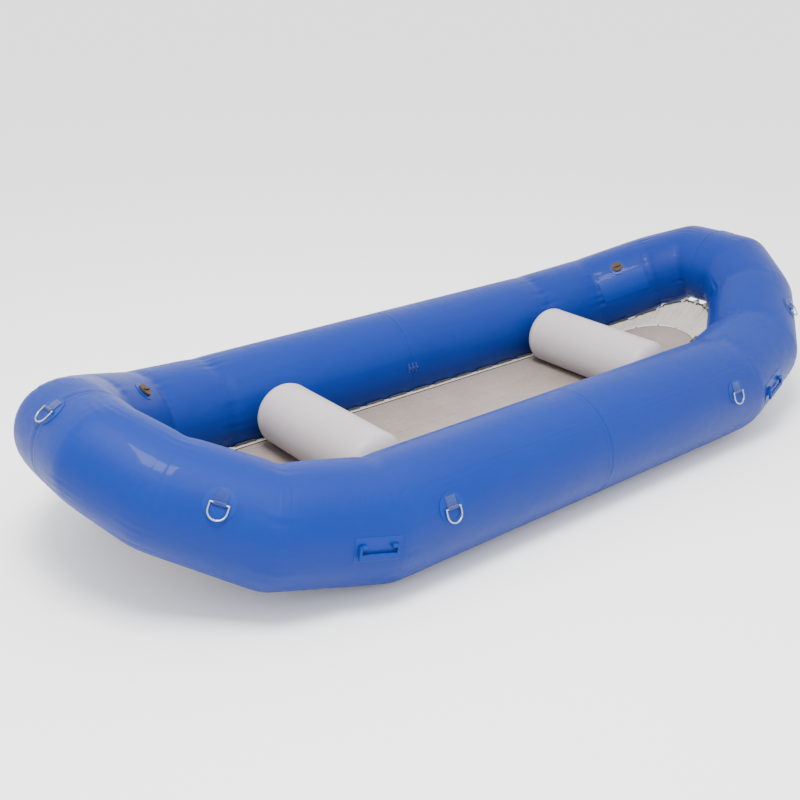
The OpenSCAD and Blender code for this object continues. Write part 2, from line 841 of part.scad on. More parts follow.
module handle_tab() {
    difference() {
        union() {
            translate([0, 0, handle_lift]) rotate([0, 90, 0]) cylinder(r = tab_r, h = tab_w);
            translate([0, -tab_r, handle_patch_t])
                cube([tab_w, 2 * tab_r, handle_lift - handle_patch_t]);
        }
        translate([-tab_w, 0, handle_lift]) rotate([0, 90, 0])
            cylinder(r = handle_pin_r + running, h = 3 * tab_w);
    }
}

module handle_patches() {
    color("royalblue") all_quarters() {
        patch_on(KICK_A, 0, handle_patch_t) at_handle() translate([0, handle_patch[1] / 6, 0])
            cube([handle_patch[0], handle_patch[1], tube_r / 3], center = true);
        at_handle() for (end = [0, 1]) mirror([end, 0, 0]) translate([tab_x, 0, 0]) handle_tab();
    }
}

// a bail with a flat grip, hanging from two stub pins
module handle() {
    pin_l = arm_w + side_gap + tab_w + side_gap;
    color("mediumblue") translate([0, 0, handle_lift]) {
        for (end = [0, 1]) mirror([end, 0, 0]) {
            translate([handle_l / 2 - pin_l, 0, 0]) rotate([0, 90, 0])
                cylinder(r = handle_pin_r, h = pin_l);
            translate([handle_l / 2 - arm_w, 0, 0]) rotate([0, 90, 0])
                cylinder(r = grip_t / 2, h = arm_w);
            translate([handle_l / 2 - arm_w, 0, -grip_t / 2]) cube([arm_w, grip_y, grip_t]);
        }
        translate([-handle_l / 2, grip_y - grip_h / 2 + grip_t / 2, -grip_t / 2])
            cube([handle_l, grip_h - grip_t, grip_t]);
        for (edge = [-1, 1]) translate([-handle_l / 2, grip_y + edge * (grip_h - grip_t) / 2, 0])
            rotate([0, 90, 0]) cylinder(r = grip_t / 2, h = handle_l);
    }
}

module handle_bow_port() { at_quarter(BOW, PORT) at_handle() handle(); }
module handle_bow_starboard() { at_quarter(BOW, STARBOARD) at_handle() handle(); }
module handle_stern_port() { at_quarter(STERN, PORT) at_handle() handle(); }
module handle_stern_starboard() { at_quarter(STERN, STARBOARD) at_handle() handle(); }

tube_bow_port();
tube_bow_starboard();
tube_stern_port();
tube_stern_starboard();
bulkheads();
floor_shell();
floor_i_beams();
lacing_flap();
lacing_rope();
thwart_bow();
thwart_stern();
thwart_loops();
thwart_loops_mid();
thwart_tabs();
thwart_pins();
chafe_patch();
valve_patches();
valve_bodies();
valve_clamp_rings();
valve_springs();
valve_cap_bow_port();
valve_cap_bow_starboard();
valve_cap_stern_port();
valve_cap_stern_starboard();
valve_cap_thwart_bow();
valve_cap_thwart_stern();
valve_cap_floor();
valve_plunger_bow_port();
valve_plunger_bow_starboard();
valve_plunger_stern_port();
valve_plunger_stern_starboard();
valve_plunger_thwart_bow();
valve_plunger_thwart_stern();
valve_plunger_floor();
d_ring_patches();
d_ring_webbing();
d_ring_nose_bow();
d_ring_nose_stern();
d_ring_quarter_bow_port();
d_ring_quarter_bow_starboard();
d_ring_quarter_stern_port();
d_ring_quarter_stern_starboard();
d_ring_side_bow_port();
d_ring_side_bow_starboard();
d_ring_side_stern_port();
d_ring_side_stern_starboard();
handle_patches();
handle_bow_port();
handle_bow_starboard();
handle_stern_port();
handle_stern_starboard();
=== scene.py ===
"""The visible pieces and finishes of a self-bailing inflatable raft, built round its CAD frame.

Everything is in metres, with +X to the bow, +Y to port and +Z up, as in the CAD model.
"""

import json
import logging
import math
from dataclasses import dataclass
from enum import Enum
from typing import Callable

import bpy
import numpy as np
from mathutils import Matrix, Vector


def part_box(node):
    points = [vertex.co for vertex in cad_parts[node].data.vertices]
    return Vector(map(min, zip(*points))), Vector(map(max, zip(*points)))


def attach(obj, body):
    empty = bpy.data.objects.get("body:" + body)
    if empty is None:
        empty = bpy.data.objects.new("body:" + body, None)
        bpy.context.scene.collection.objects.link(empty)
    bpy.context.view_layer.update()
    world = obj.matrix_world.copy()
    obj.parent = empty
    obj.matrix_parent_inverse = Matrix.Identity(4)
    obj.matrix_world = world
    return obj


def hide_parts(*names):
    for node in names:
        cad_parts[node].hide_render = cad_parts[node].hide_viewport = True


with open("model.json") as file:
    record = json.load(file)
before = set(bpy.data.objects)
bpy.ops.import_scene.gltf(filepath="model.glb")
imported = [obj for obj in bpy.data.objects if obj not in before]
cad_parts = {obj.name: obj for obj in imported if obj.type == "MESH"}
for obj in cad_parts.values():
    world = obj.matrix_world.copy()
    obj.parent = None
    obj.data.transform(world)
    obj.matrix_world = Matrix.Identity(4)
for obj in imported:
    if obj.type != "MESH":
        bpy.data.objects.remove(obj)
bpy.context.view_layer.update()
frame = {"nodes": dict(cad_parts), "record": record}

LOG = logging.getLogger("raft")
SEED = 7
MERGE = 1e-5


class End(Enum):
    """Which half of the raft, by the sign of x."""

    BOW = 1
    STERN = -1


class Side(Enum):
    """Which side of the raft, by the sign of y."""

    PORT = 1
    STARBOARD = -1


def unit(v: np.ndarray) -> np.ndarray:
    """Scales vectors to length 1.

    Args:
        v: One vector, or an array of them in its last axis.

    Returns:
        The same directions at length 1.
    """
    return v / np.linalg.norm(v, axis=-1, keepdims=True)


def bump_at(distance: np.ndarray, width: float) -> np.ndarray:
    """A smooth hump of height 1 at distance 0.

    Args:
        distance: How far each point is.
        width: The distance at which the hump has fallen to about a third.

    Returns:
        The hump's height at each point.
    """
    return np.exp(-((distance / width) ** 2))


def loop_length(line: np.ndarray) -> float:
    """The length of a closed line, from its points."""
    return float(np.linalg.norm(np.roll(line, -1, 0) - line, axis=1).sum())


# ---- modelling in Blender's edit mode ----


def select_none() -> None:
    """Leaves nothing selected, in object mode."""
    if bpy.context.mode != "OBJECT":
        bpy.ops.object.mode_set(mode="OBJECT")
    bpy.ops.object.select_all(action="DESELECT")


def select_only(piece: bpy.types.Object) -> None:
    """Makes one object the only selected and the active one.

    Args:
        piece: The object.
    """
    select_none()
    piece.select_set(True)
    bpy.context.view_layer.objects.active = piece


def heal(piece: bpy.types.Object, smooth_deg: float = 40.0) -> None:
    """Merges doubled points, turns faces outwards and shades the piece.

    Args:
        piece: The mesh object.
        smooth_deg: Edges sharper than this stay sharp.
    """
    select_only(piece)
    bpy.ops.object.mode_set(mode="EDIT")
    bpy.ops.mesh.select_all(action="SELECT")
    bpy.ops.mesh.remove_doubles(threshold=MERGE)
    bpy.ops.mesh.normals_make_consistent(inside=False)
    bpy.ops.object.mode_set(mode="OBJECT")
    bpy.ops.object.shade_smooth_by_angle(angle=math.radians(smooth_deg))


def close_holes(piece: bpy.types.Object) -> None:
    """Fills each open rim of a piece with one face.

    Args:
        piece: The mesh object.
    """
    select_only(piece)
    bpy.ops.object.mode_set(mode="EDIT")
    bpy.ops.mesh.select_mode(type="EDGE")
    bpy.ops.mesh.select_all(action="DESELECT")
    bpy.ops.mesh.select_non_manifold()
    bpy.ops.mesh.fill_holes(sides=0)
    bpy.ops.mesh.select_mode(type="VERT")
    bpy.ops.object.mode_set(mode="OBJECT")


def points_of(piece: bpy.types.Object) -> np.ndarray:
    """The positions of a piece's points.

    Args:
        piece: The mesh object.

    Returns:
        One row for each point.
    """
    flat = np.empty(len(piece.data.vertices) * 3)
    piece.data.vertices.foreach_get("co", flat)
    return flat.reshape(-1, 3)


def move_points(piece: bpy.types.Object, places: np.ndarray) -> None:
    """Moves each point of a piece to its new place.

    Args:
        piece: The mesh object.
        places: One row for each point.
    """
    piece.data.vertices.foreach_set("co", places.ravel())
    piece.data.update()


def grid_piece(name: str, places: np.ndarray) -> bpy.types.Object:
    """Adds a grid and draws each of its points to its place on a surface.

    Args:
        name: The new object's name.
        places: Positions, as rows by columns by three.

    Returns:
        The new mesh object, with a UV map that runs 0..1 along columns and rows.
    """
    rows, cols = places.shape[:2]
    select_none()
    bpy.ops.mesh.primitive_grid_add(
        x_subdivisions=cols - 1, y_subdivisions=rows - 1, size=1, calc_uvs=True
    )
    piece = bpy.context.object
    piece.name = piece.data.name = name
    plane = points_of(piece)
    col = np.rint((plane[:, 0] + 0.5) * (cols - 1)).astype(int)
    row = np.rint((plane[:, 1] + 0.5) * (rows - 1)).astype(int)
    move_points(piece, places[row, col])
    return piece


def apply_modifier(piece: bpy.types.Object, kind: str, **values: object) -> None:
    """Adds one modifier and applies it.

    Args:
        piece: The mesh object.
        kind: The modifier's type.
        **values: Its settings.
    """
    select_only(piece)
    modifier = piece.modifiers.new(kind.title(), kind)
    for key, value in values.items():
        setattr(modifier, key, value)
    bpy.ops.object.modifier_apply(modifier=modifier.name)


# ---- shader node groups, shared by the finishes ----


class Nodes:
    """Short calls that lay out one node tree."""

    def __init__(self, tree: bpy.types.NodeTree) -> None:
        """Keeps the tree.

        Args:
            tree: The node tree to add to.
        """
        self.tree = tree

    def add(self, kind: str, **values: object) -> bpy.types.Node:
        """Adds one node.

        Args:
            kind: The node's type.
            **values: Its properties.

        Returns:
            The node.
        """
        node = self.tree.nodes.new(kind)
        for key, value in values.items():
            setattr(node, key, value)
        return node

    def link(self, source: object, target: object) -> None:
        """Links a socket to another, or sets a number on it.

        Args:
            source: An output socket, or a value.
            target: An input socket.
        """
        if isinstance(source, bpy.types.NodeSocket):
            self.tree.links.new(source, target)
        else:
            target.default_value = source

    def math(self, operation: str, *inputs: object) -> bpy.types.NodeSocket:
        """Adds a maths node.

        Args:
            operation: What it does.
            *inputs: Sockets or numbers.

        Returns:
            Its output.
        """
        node = self.add("ShaderNodeMath", operation=operation)
        for socket, value in zip(node.inputs, inputs):
            self.link(value, socket)
        return node.outputs[0]

    def noise(self, where: object, scale: object, detail: float = 3.0) -> bpy.types.NodeSocket:
        """Adds a noise texture.

        Args:
            where: The vector socket to read.
            scale: Its scale, a socket or a number.
            detail: How many finer layers it has.

        Returns:
            Its factor.
        """
        node = self.add("ShaderNodeTexNoise")
        self.link(where, node.inputs["Vector"])
        self.link(scale, node.inputs["Scale"])
        node.inputs["Detail"].default_value = detail
        return node.outputs["Fac"]

    def ramp(self, value: object, low: object, high: object) -> bpy.types.NodeSocket:
        """Maps a value from low..high to 0..1, clamped.

        Args:
            value: The socket to map.
            low: Where the result is 0.
            high: Where the result is 1.

        Returns:
            The mapped value.
        """
        node = self.add("ShaderNodeMapRange", clamp=True, interpolation_type="SMOOTHSTEP")
        for name, item in (("Value", value), ("From Min", low), ("From Max", high)):
            self.link(item, node.inputs[name])
        return node.outputs[0]

    def mix(self, factor: object, first: object, second: object) -> bpy.types.NodeSocket:
        """Mixes two colours.

        Args:
            factor: How much of the second.
            first: A colour.
            second: A colour.

        Returns:
            The mixed colour.
        """
        node = self.add("ShaderNodeMix", data_type="RGBA")
        self.link(factor, node.inputs[0])
        self.link(first, node.inputs[6])
        self.link(second, node.inputs[7])
        return node.outputs[2]

    def object_place(self) -> bpy.types.NodeSocket:
        """The point in the object's own coordinates."""
        return self.add("ShaderNodeTexCoord").outputs["Object"]

    def uv(self) -> bpy.types.NodeSocket:
        """The piece's own UV map."""
        return self.add("ShaderNodeTexCoord").outputs["UV"]


def new_group(name: str, inputs: dict[str, tuple[str, object]], outputs: dict[str, str]) -> Nodes:
    """Starts a shader node group with named sockets.

    Args:
        name: The group's name.
        inputs: For each input, its socket type and first value.
        outputs: For each output, its socket type.

    Returns:
        A Nodes on the group's tree, with its ends as .source and .sink.
    """
    tree = bpy.data.node_groups.new(name, "ShaderNodeTree")
    for label, (kind, value) in inputs.items():
        socket = tree.interface.new_socket(label, in_out="INPUT", socket_type=kind)
        socket.default_value = value
    for label, kind in outputs.items():
        tree.interface.new_socket(label, in_out="OUTPUT", socket_type=kind)
    nodes = Nodes(tree)
    nodes.source = nodes.add("NodeGroupInput")
    nodes.sink = nodes.add("NodeGroupOutput")
    return nodes


NUMBER = "NodeSocketFloat"
COLOUR = "NodeSocketColor"
VECTOR = "NodeSocketVector"


def build_handling_marks() -> bpy.types.NodeTree:
    """A group that clouds a colour and its gloss, as dust and handling do.

    Returns:
        The node group.
    """
    n = new_group(
        "handling_marks",
        {
            "Place": (VECTOR, (0, 0, 0)),
            "Clean": (COLOUR, (1, 1, 1, 1)),
            "Worn": (COLOUR, (0, 0, 0, 1)),
            "Size": (NUMBER, 3.0),
            "Amount": (NUMBER, 0.3),
            "Gloss": (NUMBER, 0.4),
            "Gloss change": (NUMBER, 0.1),
        },
        {"Colour": COLOUR, "Roughness": NUMBER},
    )
    i = n.source.outputs
    cloud = n.noise(i["Place"], i["Size"], 5.0)
    fine = n.noise(i["Place"], n.math("MULTIPLY", i["Size"], 14.0), 4.0)
    both = n.math("ADD", n.math("MULTIPLY", cloud, 0.7), n.math("MULTIPLY", fine, 0.3))
    mask = n.ramp(both, 0.38, 0.68)
    n.link(n.mix(n.math("MULTIPLY", mask, i["Amount"]), i["Clean"], i["Worn"]), n.sink.inputs[0])
    change = n.math("MULTIPLY", n.math("SUBTRACT", mask, 0.4), i["Gloss change"])
    n.link(n.math("ADD", i["Gloss"], change), n.sink.inputs[1])
    return n.tree


def build_coated_cloth() -> bpy.types.NodeTree:
    """A group that gives the height of coated cloth: its faint weave and its soft ripples.

    Returns:
        The node group.
    """
    n = new_group(
        "coated_cloth",
        {
            "Place": (VECTOR, (0, 0, 0)),
            "Threads": (NUMBER, 900.0),
            "Weave depth": (NUMBER, 0.2),
            "Ripple size": (NUMBER, 9.0),
            "Ripple depth": (NUMBER, 1.0),
        },
        {"Height": NUMBER},
    )
    i = n.source.outputs
    axes = n.add("ShaderNodeSeparateXYZ")
    n.link(i["Place"], axes.inputs[0])
    waves = [
        n.math("SINE", n.math("MULTIPLY", axes.outputs[k], i["Threads"])) for k in range(3)
    ]
    weave = n.math("MULTIPLY", waves[0], n.math("ADD", waves[1], waves[2]))
    ripple = n.noise(i["Place"], i["Ripple size"], 4.0)
    total = n.math(
        "ADD",
        n.math("MULTIPLY", weave, i["Weave depth"]),
        n.math("MULTIPLY", ripple, i["Ripple depth"]),
    )
    n.link(total, n.sink.inputs[0])
    return n.tree


def build_threads() -> bpy.types.NodeTree:
    """A group that weaves a flat strap or braids a round rope over a UV map.

    Returns:
        The node group.
    """
    n = new_group(
        "threads",
        {
            "UV": (VECTOR, (0, 0, 0)),
            "Across": (NUMBER, 8.0),
            "Along": (NUMBER, 100.0),
        },
        {"Height": NUMBER, "Shade": NUMBER},
    )
    i = n.source.outputs
    axes = n.add("ShaderNodeSeparateXYZ")
    n.link(i["UV"], axes.inputs[0])
    across = n.math("MULTIPLY", axes.outputs[0], n.math("MULTIPLY", i["Across"], math.tau))
    along = n.math("MULTIPLY", axes.outputs[1], n.math("MULTIPLY", i["Along"], math.tau))
    left = n.math("SINE", n.math("ADD", across, along))
    right = n.math("SINE", n.math("SUBTRACT", across, along))
    strand = n.math("MAXIMUM", left, right)
    n.link(strand, n.sink.inputs[0])
    # Painted shade: a mask that falls to 0 in the grooves between the strands, where the colour is
    # darkened to stand in for shade.
    n.link(n.ramp(strand, -0.4, 0.8), n.sink.inputs[1])
    return n.tree


class Groups:
    """The shared node groups, each built once."""

    def __init__(self) -> None:
        """Builds every group."""
        self.marks = build_handling_marks()
        self.cloth = build_coated_cloth()
        self.threads = build_threads()


def place_group(n: Nodes, tree: bpy.types.NodeTree, **values: object) -> bpy.types.Node:
    """Adds a group to a material and sets or links its inputs.

    Args:
        n: The material's nodes.
        tree: The group.
        **values: Inputs by name, with an underscore for each space.

    Returns:
        The group's node.
    """
    node = n.add("ShaderNodeGroup", node_tree=tree)
    for key, value in values.items():
        n.link(value, node.inputs[key.replace("_", " ")])
    return node


# ---- finishes ----

Colour = tuple[float, float, float, float]


@dataclass(frozen=True)
class Finish:
    """A material: a shader with clouded colour and gloss, and a bumped surface.

    Attributes:
        name: The material's name.
        slot: The record's material slot.
        clean: The colour where nothing has touched it.
        worn: The colour that dust and handling bring.
        gloss: The shader's roughness.
        mark_size: Scale of the clouding.
        mark_amount: How much of the worn colour shows.
        gloss_change: How much the roughness wanders.
        metal: 1 for bare metal.
        coat: Weight of a clear coat.
        sheen: Weight of a cloth's sheen.
        specular: The shader's specular level.
        threads: Scale of the weave under the coating.
        weave_depth: Its share of the bump.
        ripple_size: Scale of the soft ripples.
        ripple_depth: Their share of the bump.
        relief: Height of the bump in metres.
    """

    name: str
    slot: str
    clean: Colour
    worn: Colour
    gloss: float = 0.4
    mark_size: float = 2.5
    mark_amount: float = 0.3
    gloss_change: float = 0.12
    metal: float = 0.0
    coat: float = 0.0
    sheen: float = 0.0
    specular: float = 0.5
    threads: float = 2600.0
    weave_depth: float = 0.02
    ripple_size: float = 8.0
    ripple_depth: float = 1.0
    relief: float = 0.002

    def height(self, n: Nodes, groups: Groups) -> bpy.types.NodeSocket:
        """The height that the bump reads.

        Args:
            n: The material's nodes.
            groups: The shared groups.

        Returns:
            A height socket.
        """
        cloth = place_group(
            n,
            groups.cloth,
            Place=n.object_place(),
            Threads=self.threads,
            Weave_depth=self.weave_depth,
            Ripple_size=self.ripple_size,
            Ripple_depth=self.ripple_depth,
        )
        return cloth.outputs[0]

    def shade(self, n: Nodes, groups: Groups, colour: object) -> object:
        """Gives a subclass its say on the colour.

        Args:
            n: The material's nodes.
            groups: The shared groups.
            colour: The clouded colour.

        Returns:
            The colour that the shader takes.
        """
        return colour

    def build(self, groups: Groups) -> bpy.types.Material:
        """Makes the material.

        Args:
            groups: The shared groups.

        Returns:
            The material.
        """
        material = bpy.data.materials.new(self.name)
        material.use_nodes = True
        material.diffuse_color = self.clean
        n = Nodes(material.node_tree)
        shader = material.node_tree.nodes["Principled BSDF"]
        marks = place_group(
            n,
            groups.marks,
            Place=n.object_place(),
            Clean=self.clean,
            Worn=self.worn,
            Size=self.mark_size,
            Amount=self.mark_amount,
            Gloss=self.gloss,
            Gloss_change=self.gloss_change,
        )
        n.link(self.shade(n, groups, marks.outputs[0]), shader.inputs["Base Color"])
        n.link(marks.outputs[1], shader.inputs["Roughness"])
        shader.inputs["Metallic"].default_value = self.metal
        shader.inputs["Coat Weight"].default_value = self.coat
        shader.inputs["Sheen Weight"].default_value = self.sheen
        shader.inputs["Specular IOR Level"].default_value = self.specular
        bump = n.add("ShaderNodeBump")
        bump.inputs["Distance"].default_value = self.relief
        n.link(self.height(n, groups), bump.inputs["Height"])
        n.link(bump.outputs[0], shader.inputs["Normal"])
        return material


@dataclass(frozen=True)
class Threaded(Finish):
    """A finish whose surface is threads over the piece's own UV map.

    Attributes:
        across: Threads across the map.
        along: Threads along the map.
        groove: The painted shade between the threads: a darker colour laid in the grooves where
            shade falls.
    """

    across: float = 4.0
    along: float = 100.0
    # groove is painted shade: the colour laid in the recesses between the threads.
    groove: Colour = (0.0, 0.0, 0.0, 1.0)

    def _threads(self, n: Nodes, groups: Groups) -> bpy.types.Node:
        """Adds the thread group."""
        return place_group(
            n, groups.threads, UV=n.uv(), Across=self.across, Along=self.along
        )

    def height(self, n: Nodes, groups: Groups) -> bpy.types.NodeSocket:
        """The threads' height."""
        return self._threads(n, groups).outputs[0]

    def shade(self, n: Nodes, groups: Groups, colour: object) -> object:
        """Paints shade between the threads by darkening the colour in the grooves."""
        return n.mix(self._threads(n, groups).outputs[1], self.groove, colour)


def rgb(red: float, green: float, blue: float) -> Colour:
    """A linear colour with full alpha."""
    return (red, green, blue, 1.0)


TUBE_BLUE = Finish(
    "tube_blue", "tube_skin", rgb(0.0010, 0.018, 0.175), rgb(0.0016, 0.023, 0.195),
    gloss=0.46, mark_size=2.0, mark_amount=0.5, coat=0.05, specular=0.13,
    ripple_size=7.0, relief=0.004,
)
PATCH_BLUE = Finish(
    "patch_blue", "patch_skin", rgb(0.0013, 0.022, 0.195), rgb(0.002, 0.027, 0.215),
    gloss=0.44, mark_size=6.0, specular=0.14, coat=0.05, ripple_size=22.0, relief=0.002,
)
THWART_GREY = Finish(
    "thwart_grey", "thwart_skin", rgb(0.385, 0.35, 0.36), rgb(0.29, 0.26, 0.25),
    gloss=0.46, mark_amount=0.25, ripple_size=9.0, relief=0.0025,
)
FLOOR_BEIGE = Finish(
    "floor_beige", "floor_skin", rgb(0.26, 0.215, 0.195), rgb(0.17, 0.135, 0.11),
    gloss=0.52, mark_size=3.2, mark_amount=0.55, ripple_size=6.0, relief=0.004,
)
FLAP_WHITE = Finish(
    "flap_white", "flap_fabric", rgb(0.44, 0.41, 0.37), rgb(0.30, 0.26, 0.22),
    gloss=0.58, mark_size=9.0, mark_amount=0.4, ripple_size=26.0, relief=0.003, sheen=0.1,
)
# The rope's groove colour is painted shade between the braided strands.
ROPE_BLACK = Threaded(
    "rope_black", "rope", rgb(0.022, 0.021, 0.022), rgb(0.05, 0.048, 0.045),
    gloss=0.62, mark_size=30.0, relief=0.0012, sheen=0.25, across=4.0, along=900.0,
    groove=rgb(0.004, 0.004, 0.004),
)
WEBBING_BLUE = Finish(
    "webbing_blue", "webbing", rgb(0.0016, 0.026, 0.225), rgb(0.0024, 0.031, 0.245),
    specular=0.12, gloss=0.6, mark_size=20.0, threads=3600.0, weave_depth=1.0, ripple_depth=0.3,
    ripple_size=60.0, relief=0.0007, sheen=0.2,
)
VALVE_BLACK = Finish(
    "valve_black", "valve_black", rgb(0.018, 0.018, 0.02), rgb(0.04, 0.04, 0.04),
    gloss=0.42, mark_size=40.0, ripple_size=300.0, relief=0.0003,
)
VALVE_BROWN = Finish(
    "valve_brown", "valve_brown", rgb(0.055, 0.032, 0.02), rgb(0.09, 0.056, 0.034),
    specular=0.12, gloss=0.6, mark_size=30.0, mark_amount=0.5, ripple_size=240.0, relief=0.0004,
)
VALVE_WHITE = Finish(
    "valve_white", "valve_white", rgb(0.72, 0.72, 0.70), rgb(0.6, 0.58, 0.54),
    gloss=0.35, mark_size=40.0, ripple_size=200.0, relief=0.0002,
)
STEEL = Finish(
    "steel_wire", "steel", rgb(0.34, 0.38, 0.44), rgb(0.28, 0.31, 0.36),
    gloss=0.24, mark_size=50.0, metal=1.0, threads=5200.0, weave_depth=0.2,
    ripple_size=180.0, relief=0.0002,
)
ROD_GREY = Finish(
    "rod_grey", "pin", rgb(0.05, 0.05, 0.052), rgb(0.09, 0.085, 0.08),
    gloss=0.5, mark_size=40.0, ripple_size=200.0, relief=0.0003,
)
GRIP_BLUE = Finish(
    "grip_blue", "grip", rgb(0.0015, 0.024, 0.21), rgb(0.0022, 0.029, 0.23),
    specular=0.16, gloss=0.5, mark_size=25.0, threads=1500.0, weave_depth=0.7, ripple_depth=0.6,
    ripple_size=120.0, relief=0.0008,
)
FINISHES = (
    TUBE_BLUE, PATCH_BLUE, THWART_GREY, FLOOR_BEIGE, FLAP_WHITE, ROPE_BLACK, WEBBING_BLUE,
    VALVE_BLACK, VALVE_BROWN, VALVE_WHITE, STEEL, ROD_GREY, GRIP_BLUE,
)


class Paintshop:
    """Builds each finish once and dresses pieces and CAD nodes with it."""

    def __init__(self) -> None:
        """Builds the groups and the materials."""
        groups = Groups()
        self.materials = {f.name: f.build(groups) for f in FINISHES}
        self.by_slot = {f.slot: f for f in FINISHES}

    def dress(self, piece: bpy.types.Object, finish: Finish) -> None:
        """Gives a new piece its finish.

        Args:
            piece: The mesh object.
            finish: Its finish.
        """
        piece.data.materials.clear()
        piece.data.materials.append(self.materials[finish.name])

    def dress_cad_nodes(self) -> None:
        """Gives every CAD node the finish of its slot in the record."""
        for part in frame["record"]["subparts"]:
            finish = self.by_slot[part["material_slot"]]
            for slot in frame["nodes"][part["node"]].material_slots:
                slot.material = self.materials[finish.name]


# ---- the hull's line ----


@dataclass(frozen=True)
class Kick:
    """One panel of the upturned end: its length in plan, its turn and its rise.

    Attributes:
        length: Plan length in metres.
        turn: Degrees towards the middle.
        rise: Degrees upwards.
    """

    length: float
    turn: float
    rise: float

    def step(self) -> np.ndarray:
        """The way from the panel's start to its end."""
        turn, rise = math.radians(self.turn), math.radians(self.rise)
        return self.length * np.array([math.cos(turn), -math.sin(turn), math.tan(rise)])


@dataclass(frozen=True)
class HullLine:
    """The centre line and the skin of one quarter, from midships to the middle of the nose.

    Attributes:
        tube_r: Radius of the side tube.
        nose_r: Radius of the tube across the nose.
        spacing: Distance between the side tubes' centre lines.
        side_l: Length of the straight side between its mitres.
        kicks: The three panels of the upturned end.
    """

    tube_r: float = 0.255
    nose_r: float = 0.214
    spacing: float = 1.390
    side_l: float = 2.232
    kicks: tuple[Kick, ...] = (Kick(0.432, 13, 9.5), Kick(0.394, 37, 21.5), Kick(0.241, 59, 22.8))

    SIDE = 0
    NOSE = 4

    def path(self) -> list[np.ndarray]:
        """The mitres' places on the centre line, with both ends."""
        points = [np.array([0, self.spacing / 2, self.tube_r])]
        points.append(points[0] + [self.side_l / 2, 0, 0])
        for kick in self.kicks:
            points.append(points[-1] + kick.step())
        last = points[-1]
        points.append(np.array([last[0], 0, last[2]]))
        return points

    def radius(self, i: int) -> float:
        """The tube's radius at mitre i."""
        share = min(max(i - 1, 0), 3) / 3
        return self.tube_r + (self.nose_r - self.tube_r) * share

    def along(self, i: int) -> np.ndarray:
        """Panel i's way from its first mitre to its second."""
        path = self.path()
        return path[i + 1] - path[i]

    def length(self, i: int) -> float:
        """Panel i's length on the centre line."""
        return float(np.linalg.norm(self.along(i)))

    def taper(self, i: int) -> float:
        """The angle by which panel i's skin leans in, in radians."""
        return math.asin((self.radius(i) - self.radius(i + 1)) / self.length(i))

    def mitre(self, i: int) -> tuple[np.ndarray, np.ndarray]:
        """The plane that panel i starts on.

        Args:
            i: The panel.

        Returns:
            A point on the plane and its normal.
        """
        before, after = self.taper(i - 1), self.taper(i)
        normal = unit(self.along(i - 1)) / math.cos(before) + unit(self.along(i)) / math.cos(after)
        lean = math.tan(before) + math.tan(after)
        point = self.path()[i] + normal * self.radius(i) * lean / (normal @ normal)
        return point, normal

    def first_plane(self, i: int, gap: float) -> tuple[np.ndarray, np.ndarray]:
        """The plane on which panel i starts; amidships it is gap ahead of the middle."""
        if i == self.SIDE:
            return np.array([gap, 0, 0]), np.array([1.0, 0, 0])
        return self.mitre(i)

    def last_plane(self, i: int, gap: float) -> tuple[np.ndarray, np.ndarray]:
        """The plane on which panel i ends; in the nose it is gap from the middle."""
        if i == self.NOSE:
            return np.array([0, gap, 0]), np.array([0, 1.0, 0])
        return self.mitre(i + 1)

    def rays(self, i: int, angles: np.ndarray) -> np.ndarray:
        """Directions out of the tube that lean from panel to panel with it.

        Args:
            i: The panel.
            angles: Angles round the tube in radians, 0 outboard and a quarter turn on top.

        Returns:
            One direction for each angle.
        """
        ray = np.stack([np.zeros_like(angles), np.cos(angles), np.sin(angles)], -1)
        for k in range(1, i + 1):
            a, b = unit(self.along(k - 1)), unit(self.along(k))
            ray = (
                ray
                - np.outer(ray @ (a + b), a + b) / (1 + a @ b)
                + 2 * np.outer(ray @ a, b)
            )
        return ray

    def cut(
        self, i: int, rays: np.ndarray, lift: float, plane: tuple[np.ndarray, np.ndarray]
    ) -> np.ndarray:
        """Where lines along panel i's skin meet a plane.

        Args:
            i: The panel.
            rays: The direction of each line from the centre line.
            lift: Height over the skin.
            plane: A point and a normal.

        Returns:
            One point for each line.
        """
        point, normal = plane
        taper = self.taper(i)
        first = self.path()[i] + rays * (self.radius(i) + lift) / math.cos(taper)
        slope = unit(self.along(i)) - rays * math.tan(taper)
        reach = ((point - first) @ normal) / (slope @ normal)
        return first + slope * reach[:, None]

    def upright_rays(self, i: int, angles: np.ndarray) -> np.ndarray:
        """Directions out of panel i, with angle 0 level and outboard.

        Args:
            i: The panel.
            angles: Angles in radians.

        Returns:
            One direction for each angle.
        """
        way = self.along(i)
        outboard = unit(np.array([-way[1], way[0], 0]))
        upward = np.cross(unit(way), outboard)
        return np.outer(np.cos(angles), outboard) + np.outer(np.sin(angles), upward)

    def bend(self, i: int) -> np.ndarray:
        """The direction to the inside of the bend at mitre i."""
        return unit(unit(self.along(i)) - unit(self.along(i - 1)))


HULL = HullLine()


# ---- tube chambers ----


